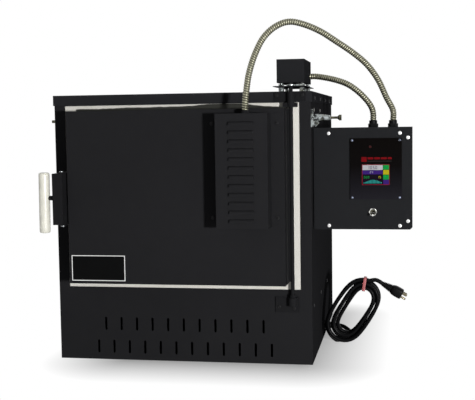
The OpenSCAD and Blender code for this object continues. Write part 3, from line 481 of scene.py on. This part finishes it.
def loft(rings, closed=True):
    # skin over rings of equal count, with both ends capped where it is closed
    n = len(rings[0])
    verts = [p for ring in rings for p in ring]
    faces = [(i * n + k, i * n + (k + 1) % n, (i + 1) * n + (k + 1) % n, (i + 1) * n + k)
             for i in range(len(rings) - 1) for k in range(n)]
    if closed:
        faces += [tuple(range(n))[::-1], tuple(range((len(rings) - 1) * n, len(rings) * n))]
    return verts, faces


def tube(path, radius, sides, side=Vector((0, 1, 0))):
    rings = []
    for i, p in enumerate(path):
        along = (Vector(path[min(i + 1, len(path) - 1)]) - Vector(path[max(i - 1, 0)])).normalized()
        u = (side - along * side.dot(along)).normalized()
        v = along.cross(u)
        rings.append([Vector(p) + radius * (math.cos(a) * u + math.sin(a) * v) for a in around(sides)])
    return loft(rings)


def superRing(place, axisU, axisV, halfU, halfV, power, count=32):
    # ring between an ellipse, at power 2, and a rectangle
    ring = []
    for a in around(count):
        c, s = math.cos(a), math.sin(a)
        u = math.copysign(abs(c) ** (2 / power), c) * halfU
        v = math.copysign(abs(s) ** (2 / power), s) * halfV
        ring.append(place + axisU * u + axisV * v)
    return ring


# trees that grow what repeats or follows a path
class Grower(Bench):
    # a geometry tree with named inputs; grown() gives the finished mesh
    def __init__(self, name, inputs):
        super().__init__(bpy.data.node_groups.new(name, "GeometryNodeTree"))
        face = self.tree.interface
        face.new_socket("Shape", in_out="INPUT", socket_type="NodeSocketGeometry")
        for key, value in inputs.items():
            kind = "NodeSocketInt" if isinstance(value, int) else "NodeSocketFloat"
            face.new_socket(key, in_out="INPUT", socket_type=kind).default_value = value
        face.new_socket("Shape", in_out="OUTPUT", socket_type="NodeSocketGeometry")
        node = self.tree.nodes.new("NodeGroupInput")
        self.given = {o.name: Wire(self, o) for o in node.outputs if o.name}
        self.last = self.tree.nodes.new("NodeGroupOutput")

    def end(self, geometry, material):
        whole = self.add("GeometryNodeRealizeInstances", {}, {0: geometry})
        painted = self.add("GeometryNodeSetMaterial", {}, {"Geometry": whole, "Material": material})
        self.feed(self.last.inputs[0], painted)

    def grown(self, name, base, values, body, slotName, replaced=(), smooth=35):
        holder = bpy.data.objects.new(name + "Seed", base)
        bpy.context.collection.objects.link(holder)
        modifier = holder.modifiers.new("grow", "NODES")
        modifier.node_group = self.tree
        for item in self.tree.interface.items_tree:
            if item.in_out == "INPUT" and item.name in values:
                modifier[item.identifier] = values[item.name]
        bpy.context.view_layer.update()
        seen = holder.evaluated_get(bpy.context.evaluated_depsgraph_get())
        mesh = bpy.data.meshes.new_from_object(seen)
        mesh.name = name
        holder.modifiers.remove(modifier)
        bpy.data.objects.remove(holder)
        mesh.shade_smooth()
        mesh.set_sharp_from_angle(angle=math.radians(smooth))
        return fromMesh(name, mesh, None, body, replaced)


def pointMesh(points, facing=None):
    # loose points, each with the way that its instance faces
    mesh = bpy.data.meshes.new("points")
    mesh.from_pydata([tuple(p) for p in points], [], [])
    way = mesh.attributes.new("facing", "FLOAT_VECTOR", "POINT")
    for k, item in enumerate(way.data):
        item.vector = facing[k] if facing else (0, -1, 0)
    return mesh


def lineMesh(points):
    mesh = bpy.data.meshes.new("line")
    mesh.from_pydata([tuple(p) for p in points], [(k, k + 1) for k in range(len(points) - 1)], [])
    return mesh


def screwTree(name, material):
    # pan head with a cross recess on every point, turned at random about its own axis
    g = Grower(name, {"Radius": 4.0 * mm, "Height": 2.0 * mm, "Recess": 2.1 * mm, "Seed": 3})
    radius, height, recess = g.given["Radius"], g.given["Height"], g.given["Recess"]
    ball = g.add("GeometryNodeMeshUVSphere", {}, {"Segments": 28, "Rings": 14, "Radius": 1.0})
    place = g.add("GeometryNodeInputPosition")
    x, y, z = g.apart(place)
    out = (x * x + y * y).math("SQRT")
    top = z.math("GREATER_THAN", 0.001)
    lift = (1 - out.math("POWER", 5.0)).math("MAXIMUM", 0.0).math("SQRT") * height * top
    wide = g.add("ShaderNodeCombineXYZ", {}, {0: x * radius, 1: y * radius, 2: lift})
    head = g.add("GeometryNodeSetPosition", {}, {"Geometry": ball, "Position": wide})
    head = g.add("GeometryNodeMergeByDistance", {}, {"Geometry": head, "Distance": 0.000004})
    arms = []
    for turned in (0, 1):
        long, thin = recess * 2, recess * 0.42
        size = g.add("ShaderNodeCombineXYZ", {}, {turned: long, 1 - turned: thin, 2: height})
        bar = g.add("GeometryNodeMeshCube", {}, {"Size": size})
        raised = g.add("ShaderNodeCombineXYZ", {}, {2: height * 1.05})
        arms.append(g.add("GeometryNodeTransform", {}, {"Geometry": bar, "Translation": raised}))
    cut = g.tree.nodes.new("GeometryNodeMeshBoolean")
    cut.operation = "DIFFERENCE"
    g.feed(cut.inputs[0], head)
    for arm in arms:
        g.tree.links.new(arm.out, cut.inputs[1])
    spin = g.add("FunctionNodeRandomValue", {"data_type": "FLOAT"},
                 {2: 0.0, 3: 1.57, "Seed": g.given["Seed"]}, out=1)
    facing = g.add("GeometryNodeInputNamedAttribute", {"data_type": "FLOAT_VECTOR"}, {"Name": "facing"})
    aim = g.add("FunctionNodeAlignRotationToVector", {"axis": "Z"}, {"Vector": facing})
    own = g.add("FunctionNodeAxisAngleToRotation", {}, {"Axis": (0, 0, 1), "Angle": spin})
    both = g.add("FunctionNodeRotateRotation", {"rotation_space": "LOCAL"}, {"Rotation": aim, "Rotate By": own})
    placed = g.add("GeometryNodeInstanceOnPoints", {},
                   {"Points": g.given["Shape"], "Instance": Wire(g, cut.outputs[0]), "Rotation": both})
    g.end(placed, material)
    return g


def ribbedTree(name, material):
    # strip wound into a flexible tube: its ribs run round the curve as a screw
    g = Grower(name, {"Radius": 6.45 * mm, "Rib": 0.34 * mm, "Pitch": 4.8 * mm, "Rings": 900})
    line = g.add("GeometryNodeMeshToCurve", {}, {"Mesh": g.given["Shape"]})
    line = g.add("GeometryNodeResampleCurve", {}, {"Curve": line, "Count": g.given["Rings"]})
    along = g.add("GeometryNodeSplineParameter", out=1)
    centre = g.add("GeometryNodeInputPosition")
    line = g.add("GeometryNodeStoreNamedAttribute", {"data_type": "FLOAT", "domain": "POINT"},
                 {"Geometry": line, "Name": "along", "Value": along})
    line = g.add("GeometryNodeStoreNamedAttribute", {"data_type": "FLOAT_VECTOR", "domain": "POINT"},
                 {"Geometry": line, "Name": "centre", "Value": centre})
    ring = g.add("GeometryNodeCurvePrimitiveCircle", {}, {"Resolution": 20, "Radius": g.given["Radius"]})
    about = g.add("GeometryNodeSplineParameter", out=0)
    ring = g.add("GeometryNodeStoreNamedAttribute", {"data_type": "FLOAT", "domain": "POINT"},
                 {"Geometry": ring, "Name": "round", "Value": about})
    skin = g.add("GeometryNodeCurveToMesh", {}, {"Curve": line, "Profile Curve": ring, "Fill Caps": True})

    def read(key, kind="FLOAT"):
        return g.add("GeometryNodeInputNamedAttribute", {"data_type": kind}, {"Name": key})

    phase = (read("along") / g.given["Pitch"] + read("round")).math("FRACT")
    wave = (phase * math.tau).math("COSINE")
    crown = (wave * 0.5 + 0.5) ** 0.8
    here = g.add("GeometryNodeInputPosition")
    out = g.add("ShaderNodeVectorMath", {"operation": "SUBTRACT"}, {0: here, 1: read("centre", "FLOAT_VECTOR")})
    out = g.add("ShaderNodeVectorMath", {"operation": "NORMALIZE"}, {0: out})
    push = g.add("ShaderNodeVectorMath", {"operation": "SCALE"},
                 {0: out, "Scale": (crown * 2 - 1) * g.given["Rib"]})
    skin = g.add("GeometryNodeSetPosition", {}, {"Geometry": skin, "Offset": push})
    # mask of the grooves, which the strip's finish uses for painted shade and for roughness
    skin = g.add("GeometryNodeStoreNamedAttribute", {"data_type": "FLOAT", "domain": "POINT"},
                 {"Geometry": skin, "Name": "groove", "Value": (1 - crown) ** 1.5})
    g.end(skin, material)
    return g


screws = screwTree("crossScrews", finishes["whiteSteel"])
smallScrews = screwTree("smallScrews", finishes["blueZinc"])
blackScrews = screwTree("blackScrews", finishes["blackOxide"])
ribbed = ribbedTree("ribbedConduit", finishes["woundStrip"])
print("stage: trees")

# power cord
metres = inMetres(cordPath)
verts, faces = tube(metres, cord["radius"] * mm, cord["sides"])
powerCord = fromParts("powerCord", verts, faces, finishes["cordJacket"], "root",
                      ("cord_lead", "cord_coil", "cord_tail"), 60)

# moulded plug with a finned strain relief behind its body; the first number of each row lies along the plug
plug = {"tail": 5.2, "fins": 7, "first": 0.1, "step": 3.1, "radius": 5.9, "grow": 0.55,
        "fin": [(0, 0), (1.7, 0.1), (1.9, -1.2), (2.8, -1.0)],
        "body": [(22.4, 9.6, 9.2, 2.2), (25, 11.2, 10.4, 2.5), (29, 12.6, 11.6, 3), (34, 12.9, 12.0, 3.4),
                 (43, 12.9, 12.0, 3.6), (47.4, 12.7, 11.8, 3.6), (49, 12.1, 11.2, 3.6), (49.6, 11.4, 10.6, 3.4)]}
plugUp = Vector((math.cos(plugTurn), 0, -math.sin(plugTurn)))
plugSide = Vector((0, 1, 0))
plugAt = Vector(cord["plug"])


def plugRing(z, wide, high, power):
    return [p * mm for p in superRing(plugAt + plugWay * z, plugUp, plugSide, high, wide, power)]


rings = [plugRing(0, plug["tail"], plug["tail"], 2)]
for k in range(plug["fins"]):
    for on, more in plug["fin"]:
        r = plug["radius"] + k * plug["grow"] + more
        rings.append(plugRing(plug["first"] + k * plug["step"] + on, r, r, 2))
rings += [plugRing(*row) for row in plug["body"]]
verts, faces = loft(rings)
plugBody = fromParts("plugBody", verts, faces, finishes["blackPlastic"], "root", ("plug_body",), 40)

# two flat blades and a round earth pin
blades = {"apart": 6.35, "thick": 0.75, "drop": 4, "rows": [(49, 3.1), (58.5, 3.1), (60.6, 1.9)]}
pin = {"up": 6, "sides": 20, "rows": [(49, 2.4), (60, 2.4), (61.6, 1.9), (62.2, 1.0)]}


def bladeRings(off):
    t = blades["thick"]
    return [[(plugAt + plugWay * z + plugUp * u - plugUp * blades["drop"] + plugSide * (off + v)) * mm
             for u, v in ((-w, -t), (w, -t), (w, t), (-w, t))] for z, w in blades["rows"]]


pinRings = [[(plugAt + plugWay * z + plugUp * (pin["up"] + r * math.cos(a)) + plugSide * r * math.sin(a)) * mm
             for a in around(pin["sides"])] for z, r in pin["rows"]]
verts, faces = joined([loft(bladeRings(-blades["apart"])), loft(bladeRings(blades["apart"])), loft(pinRings)])
plugBlades = fromParts("plugBlades", verts, faces, finishes["brass"], "root", ("plug_blades",), 40)

# band that holds the loops together
high = coil["turns"] * coil["step"] * (1 - coil["drawn"]) + 2 * (cord["radius"] + tie["room"])
deep = coil["depth"] + 2 * (cord["radius"] + tie["room"])
tieTurn = math.radians(coil["tilt"] - 90 - tie["normal"])
tieX = Vector((math.cos(tieTurn), 0, -math.sin(tieTurn)))
tieZ = Vector((math.sin(tieTurn), 0, math.cos(tieTurn)))
tieAt = Vector(coilPlace(tie["at"], -cord["radius"] - tie["room"], 0)) - tieX * (high / 2)


def tieRing(z, grow):
    return [p * mm for p in superRing(tieAt + tieZ * z, tieX, plugSide, high / 2 + grow, deep / 2 + grow,
                                      tie["power"], tie["sides"])]


half, thick = tie["wide"] / 2, tie["thick"]
flat, rim = half - tie["round"], thick - tie["edge"]
loop = [(-half, tie["play"]), (-half, rim), (-flat, thick), (0, thick - tie["hollow"]), (flat, thick), (half, rim),
        (half, tie["play"]), (0, 0.0), (-half, tie["play"])]
verts, faces = loft([tieRing(*row) for row in loop], False)
tieBand = fromParts("tieBand", verts, faces, finishes["tieRed"], "root", ("cord_tie",), 50)

# conduits
conduits = {"radius": 6.25, "rib": 0.52, "pitch": 4.8, "ringsPerRib": 9}


def conduit(name, route, body, replaced):
    points = inMetres(route)
    pitch = conduits["pitch"] * mm
    values = {"Radius": conduits["radius"] * mm, "Rib": conduits["rib"] * mm, "Pitch": pitch,
              "Rings": int(routeLength(points) / pitch * conduits["ringsPerRib"])}
    return ribbed.grown(name, lineMesh(points), values, body, "conduit", replaced, 80)


conduit("switchConduit", switchRoute, "root", ("switch_conduit",))
doorConduit = conduit("doorConduit", doorRoute, None, ("door_conduit",))
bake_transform(doorConduit)
print("stage: conduits")

# screws: places in millimetres, sizes as the head's radius and height and half the length of its recess
shell = {"front": -275.0, "side": 280.0, "top": 580.0, "hinge": 240.0, "capOver": 2.2, "bracket": 3}
capRow = {"first": -215, "step": 130, "count": 4, "below": 14}
shelfRow = {"first": -240, "step": 165, "count": 3, "z": 122}
brackets = {"topX": (-31, 23), "topBelow": 8, "low": [(-30, 124.5), (2.3, 121.7)]}
panel = {"x": 282, "y": -241, "z": 287,
         "screws": [(32, 204), (181, 203), (32, 8), (181, 8), (197.7, 193.5), (197.7, 18)]}
bezel = {"x": 359, "y": -244, "z": 351, "screws": [(x, z) for x in (4.5, 103.5) for z in (4, 124.5)]}
cover = {"x": 0, "y": -341.5, "z": 0, "screws": [(x, z) for z in (321, 515) for x in (82, 217)]}
screwSizes = {"plain": (4.0, 2.0, 1.9), "panel": (4.3, 2.2, 1.9), "bezel": (2.8, 1.5, 1.4)}


def screwSet(name, tree, points, facing, size, body, slotName, replaced, seed):
    radius, height, recess = (v * mm for v in screwSizes[size])
    values = {"Radius": radius, "Height": height, "Recess": recess, "Seed": seed}
    return tree.grown(name, pointMesh(inMetres(points), facing), values, body, slotName, replaced, 40)


def onFace(face):
    return [(face["x"] + x, face["y"], face["z"] + z) for x, z in face["screws"]]


placed = []
for s in (-1, 1):
    for k in range(capRow["count"]):
        y, z = capRow["first"] + capRow["step"] * k, shell["top"] - capRow["below"]
        placed.append(((s * (shell["side"] + shell["capOver"]), y, z), (s, 0, 0)))
    for k in range(shelfRow["count"]):
        placed.append(((s * shell["side"], shelfRow["first"] + shelfRow["step"] * k, shelfRow["z"]), (s, 0, 0)))
for dx in brackets["topX"]:
    y = shell["front"] - shell["capOver"] - shell["bracket"]
    placed.append(((shell["hinge"] + dx, y, shell["top"] - brackets["topBelow"]), (0, -1, 0)))
for dx, z in brackets["low"]:
    placed.append(((shell["hinge"] + dx, shell["front"] - shell["bracket"], z), (0, -1, 0)))
places, ways = zip(*placed)
screwSet("caseScrews", blackScrews, places, ways, "plain", "root", "black_screw", ("case_screws",), 3)
screwSet("panelScrews", screws, onFace(panel), None, "panel", "root", "steel_screw", ("panel_screws",), 5)
screwSet("bezelScrews", smallScrews, onFace(bezel), None, "bezel", "root", "black_screw", ("bezel_screws",), 8)
screwSet("doorScrews", blackScrews, onFace(cover), None, "plain", "door", "black_screw", ("door_screws",), 9)
print("stage: screws")

# the screen's picture: generic tiles and seven-bar digits
screen = {"x": 383.5, "z": 381, "wide": 58.5, "high": 44, "y": -243.05, "rim": 0.4, "layer": 0.05}
inks = {"red": fromSrgb(164, 34, 52), "green": fromSrgb(24, 190, 84), "purple": fromSrgb(76, 42, 146),
        "violet": fromSrgb(46, 28, 84), "white": fromSrgb(238, 238, 244), "yellow": fromSrgb(232, 220, 36),
        "dark": fromSrgb(24, 14, 34), "deepRed": fromSrgb(150, 14, 24),
        "slate": fromSrgb(70, 62, 62), "teal": fromSrgb(60, 200, 190)}
tiles = []  # left, low, right, high, layer, ink


def tile(x0, z0, x1, z1, layer, ink):
    tiles.append((x0, z0, x1, z1, layer, ink))


def digit(x, z, high, value, ink, layer=3):
    # seven bars, as on a segment display
    wide, bar = high * 0.52, high * 0.13
    mid = high / 2
    rows = {"a": (0, high - bar, wide, high), "b": (wide - bar, mid, wide, high), "c": (wide - bar, 0, wide, mid),
            "d": (0, 0, wide, bar), "e": (0, 0, bar, mid), "f": (0, mid, bar, high),
            "g": (0, mid - bar / 2, wide, mid + bar / 2)}
    shown = {"0": "abcdef", "1": "bc", "2": "abged", "4": "fgbc", "5": "afgcd", "6": "afgedc", "9": "abcdfg"}[value]
    for key in shown:
        x0, z0, x1, z1 = rows[key]
        tile(x + x0, z + z0, x + x1, z + z1, layer, ink)


w, h = screen["wide"] - 2 * screen["rim"], screen["high"] - 2 * screen["rim"]
tile(0, 0, w, h, 0, "red")
tile(1.3, 1.3, w - 1.3, h - 1.3, 1, "dark")
tile(1.3, 31.5, 43.5, h - 1.3, 2, "white")
tile(1.3, 22.5, 43.5, 30.8, 2, "purple")
for k, ink in enumerate(("purple", "green", "yellow", "green")):
    tile(44.4, 1.3 + k * 10.3, w - 1.3, 10.9 + k * 10.3, 2, ink)
for number, x, step, z, high, ink in (("1050", 12, 5.4, 33.4, 6.6, "violet"), ("24", 16.5, 4.2, 24.6, 4.4, "white"),
                                      ("960", 4, 4.2, 13.8, 5.2, "green"), ("15", 33, 4.0, 13.8, 5.2, "yellow")):
    for k, value in enumerate(number):
        digit(x + k * step, z, high, value, ink)
for k in range(14):
    tile(3.2 + k * 2.8, 3.2, 4.9 + k * 2.8, 4.6 + 6.2 * math.sin(math.pi * (k + 1) / 16) ** 1.5, 3, "teal")
# plain bars above the picture, on the bezel's film
onFilm = 21
tile(-1, 49, 10, 59, onFilm, "deepRed")
for x0, x1 in ((12, 24), (26, 38), (40, 52), (54, 62)):
    tile(x0, 54, x1, 58.4, onFilm, "deepRed")
tile(12, 49.6, 62, 50.8, onFilm, "slate")
verts, faces, tints = [], [], []
for x0, z0, x1, z1, layer, ink in tiles:
    k = len(verts)
    y = (screen["y"] - screen["layer"] * layer) * mm
    x, z = screen["x"] + screen["rim"], screen["z"] + screen["rim"]
    verts += [((x + a) * mm, y, (z + b) * mm) for a, b in ((x0, z0), (x1, z0), (x1, z1), (x0, z1))]
    faces.append((k, k + 1, k + 2, k + 3))
    tints.append(inks[ink])
mesh = bpy.data.meshes.new("screenPicture")
mesh.from_pydata(verts, [], faces)
paint = mesh.color_attributes.new("tint", "FLOAT_COLOR", "CORNER")
for face, tint in zip(mesh.polygons, tints):
    for corner in face.loop_indices:
        paint.data[corner].color = tint
fromMesh("screenPicture", mesh, finishes["litTiles"], "root")

# pale border round the blank data plate
plate = {"box": (-227, 185, -109, 240), "y": -340.8, "inset": 0.3, "line": 1.5, "thick": 0.12}
x0, z0, x1, z1 = plate["box"]
frames = [[(x0 + d, z0 + d), (x1 - d, z0 + d), (x1 - d, z1 - d), (x0 + d, z1 - d)]
          for d in (plate["inset"], plate["inset"] + plate["line"])]
verts = [(x * mm, y * mm, z * mm) for y in (plate["y"] - plate["thick"], plate["y"])
         for ring in frames for x, z in ring]
faces = []
for k in range(4):
    n = (k + 1) % 4
    faces += [(k, n, 4 + n, 4 + k), (8 + k, 8 + n, n, k), (4 + k, 4 + n, 12 + n, 12 + k)]
fromParts("plateBorder", verts, faces, finishes["whiteSteel"], "door")
print("stage: trim")

# heating elements: wound wire in straight rows, with the rows' places across their axis and their ends
element = {"radius": 3.9, "wire": 0.75, "pitch": 6.5, "perTurn": 12, "sides": 6, "rowStep": 70}
sideWalls = {"x": 195.5, "z": 359.0, "from": -249, "to": 101}
doorFace = {"y": -279.8, "z": 362, "from": -149, "to": 149}


def coilBetween(start, end):
    # one wound wire: the place along its axis and the two across it
    length = end - start
    count = int(length / element["pitch"] * element["perTurn"])
    path = []
    for k in range(count + 1):
        a = 2 * math.pi * k / element["perTurn"]
        path.append((start + length * k / count, element["radius"] * math.cos(a), element["radius"] * math.sin(a)))
    return path


def elementRows(name, rows, body, replaced):
    parts = []
    for axis, (first, second), start, end in rows:
        if axis == "x":
            path = [(s, first + a, second + b) for s, a, b in coilBetween(start, end)]
            across = Vector((1, 0, 0))
        else:
            path = [(first + a, s, second + b) for s, a, b in coilBetween(start, end)]
            across = Vector((0, 1, 0))
        parts.append(tube(inMetres(path), element["wire"] * mm, element["sides"], across))
    verts, faces = joined(parts)
    return fromParts(name, verts, faces, finishes["elementWire"], body, replaced, 60)


sideRows = [("y", (s * sideWalls["x"], sideWalls["z"] + k * element["rowStep"]), sideWalls["from"], sideWalls["to"])
            for s in (-1, 1) for k in (-1, 0, 1)]
elementRows("sideElements", sideRows, "root", ("chamber_elements",))
doorRows = [("x", (doorFace["y"], doorFace["z"] + k * element["rowStep"]), doorFace["from"], doorFace["to"])
            for k in (-1, 0, 1)]
elementRows("doorElements", doorRows, "door", ("door_elements",))
print("stage: elements")

# two pressed ribs on the lever's face, in steps outwards with half their width and height
ribs = {"x": -245.2, "y": -362.9, "z": (348.8, 382.7), "power": 6,
        "steps": [(0, 6.4, 4.3), (0.8, 6.1, 4.0), (1.2, 5.3, 3.2)]}
for k, z in enumerate(ribs["z"]):
    rings = [superRing(Vector((ribs["x"], ribs["y"] - out, z)) * mm, Vector((1, 0, 0)), Vector((0, 0, 1)),
                       wide * mm, tall * mm, ribs["power"]) for out, wide, tall in ribs["steps"]]
    verts, faces = loft(rings)
    fromParts(f"leverRib{k}", verts, faces, finishes["bracketBlack"], "latch")

# hand grip, turned from its profile of radius and height, and leaning a little
grip = {"x": -278.4, "y": -355, "low": 289, "middle": 64, "lean": 0.009, "sides": 48,
        "profile": [(0, 0), (7.6, 0), (9.6, 0.5), (10.9, 1.8), (11.4, 4.0), (11.5, 9), (11.5, 60), (11.5, 119),
                    (11.4, 124), (10.9, 126.2), (9.6, 127.5), (7.6, 128), (0, 128)]}
rings = []
for r, z in grip["profile"]:
    x = grip["x"] + grip["lean"] * (z - grip["middle"])
    rings.append([((x + r * math.cos(a)) * mm, (grip["y"] + r * math.sin(a)) * mm, (grip["low"] + z) * mm)
                  for a in around(grip["sides"])])
verts, faces = loft(rings, False)
fromParts("handGrip", verts, faces, finishes["creamGrip"], "latch", ("handle_grip",), 40)

# finishes of the nodes that stay
look = {
    "caseBlack": ["base_pan", "case_wrap", "case_front", "door_pan", "element_cover"],
    "capBlack": ["top_cap"],
    "boxBlack": ["control_box", "control_panel", "switch_cover", "switch_base", "switch_plate", "box_spacers"],
    "bracketBlack": ["hinge_bracket_top", "hinge_bracket_bottom", "hinge_leaf", "hinge_rod", "latch_lever",
                     "latch_bracket", "catch_plate"],
    "innerSteel": ["brick_shelf"],
    "zinc": ["switch_bolts", "side_clip", "cam_arm"],
    "brightZinc": ["toggle_nut"],
    "oliveZinc": ["side_bolts", "toggle_switch"],
    "dullZinc": ["latch_pin"],
    "firebrick": ["chamber_floor", "chamber_left_wall", "chamber_right_wall", "chamber_back_wall",
                  "door_bricks"],
    # the roof brick carries the band of painted shade
    "shadedRoofBrick": ["chamber_roof"],
    "fibre": ["fibre_blanket"],
    "sheath": ["thermocouple"],
    "blackPlastic": ["limit_switch", "conduit_fittings", "strain_relief"],
    "bezelFilm": ["display_bezel"],
    "screenGlass": ["touch_screen"],
    "board": ["controller_board"],
    "relayCase": ["relay"],
    "lampRed": ["status_lamp"],
    "nickel": ["toggle_lever"],
    "plateBlack": ["data_plate"],
}
for key, names in look.items():
    for name in names:
        nodes[name].data.materials.clear()
        nodes[name].data.materials.append(finishes[key])

# floor, world and lamps, with half the length and width of the shadow's ground
studio = {"floor": 0.9, "lift": 0.2, "half": (0.19, 0.275), "east": 0.06, "reach": 0.185, "world": 0.16,
          "span": 60, "drop": 0.0004}
lamps = {"keyLamp": {"place": (1.92, -3.1, 0.44), "aim": (0.05, -0.3, 0.38), "size": 0.2, "power": 92},
         "fillLamp": {"place": (-2.2, -2.6, 1.9), "aim": (-0.1, 0, 0.3), "size": 1.6, "power": 4}}
corners = [(x * studio["span"], y * studio["span"], -studio["drop"]) for x, y in ((-1, -1), (1, -1), (1, 1), (-1, 1))]
mesh = bpy.data.meshes.new("floor")
mesh.from_pydata(corners, [], [(0, 1, 2, 3)])
floor = bpy.data.objects.new("floor", mesh)
bpy.context.collection.objects.link(floor)


def backdropRay(bench):
    # 1 for the rays that show the background, in the picture or in metal and glass
    node = bench.tree.nodes.new("ShaderNodeLightPath")
    rays = ("Is Camera Ray", "Is Glossy Ray", "Is Transmission Ray")
    return sum(Wire(bench, node.outputs[key]) for key in rays).held()


# the floor takes the shadow near the kiln and turns into the white background around it
material, bench, where = newMaterial("floorWhite")
east, north = bench.apart(where)[:2]
across, along = ((v.math("ABSOLUTE") - half).math("MAXIMUM", 0.0)
                 for v, half in zip((east - studio["east"], north), studio["half"]))
fade = ((across * across + along * along).math("SQRT") / studio["reach"]).held()
plain = bench.add("ShaderNodeBsdfDiffuse", {}, {"Color": (studio["floor"],) * 3 + (1,)})
white = bench.add("ShaderNodeEmission", {}, {"Color": (1, 1, 1, 1), "Strength": 1.0})
share = (fade * (1 - studio["lift"]) + studio["lift"]) * backdropRay(bench)
mixed = bench.add("ShaderNodeMixShader", {}, {0: share, 1: plain, 2: white})
end = bench.tree.nodes.new("ShaderNodeOutputMaterial")
bench.tree.links.new(mixed.out, end.inputs[0])
mesh.materials.append(material)

world = bpy.data.worlds.new("studio")
bpy.context.scene.world = world
world.use_nodes = True
bench = Bench(world.node_tree)
level = backdropRay(bench) * (1 - studio["world"]) + studio["world"]
sky = bench.add("ShaderNodeBackground", {}, {"Color": (1, 1, 1, 1), "Strength": level})
end = bench.tree.nodes.new("ShaderNodeOutputWorld")
bench.tree.links.new(sky.out, end.inputs[0])


def areaLamp(name, place, aim, size, power):
    data = bpy.data.lights.new(name, "AREA")
    data.shape = "RECTANGLE"
    data.size = data.size_y = size
    data.energy = power
    lamp = bpy.data.objects.new(name, data)
    way = (Vector(aim) - Vector(place)).to_track_quat("-Z", "Y")
    lamp.matrix_world = Matrix.Translation(place) @ way.to_matrix().to_4x4()
    bpy.context.collection.objects.link(lamp)


for name, lamp in lamps.items():
    areaLamp(name, **lamp)
bpy.context.scene.view_settings.view_transform = "Standard"

print("stage: finished")
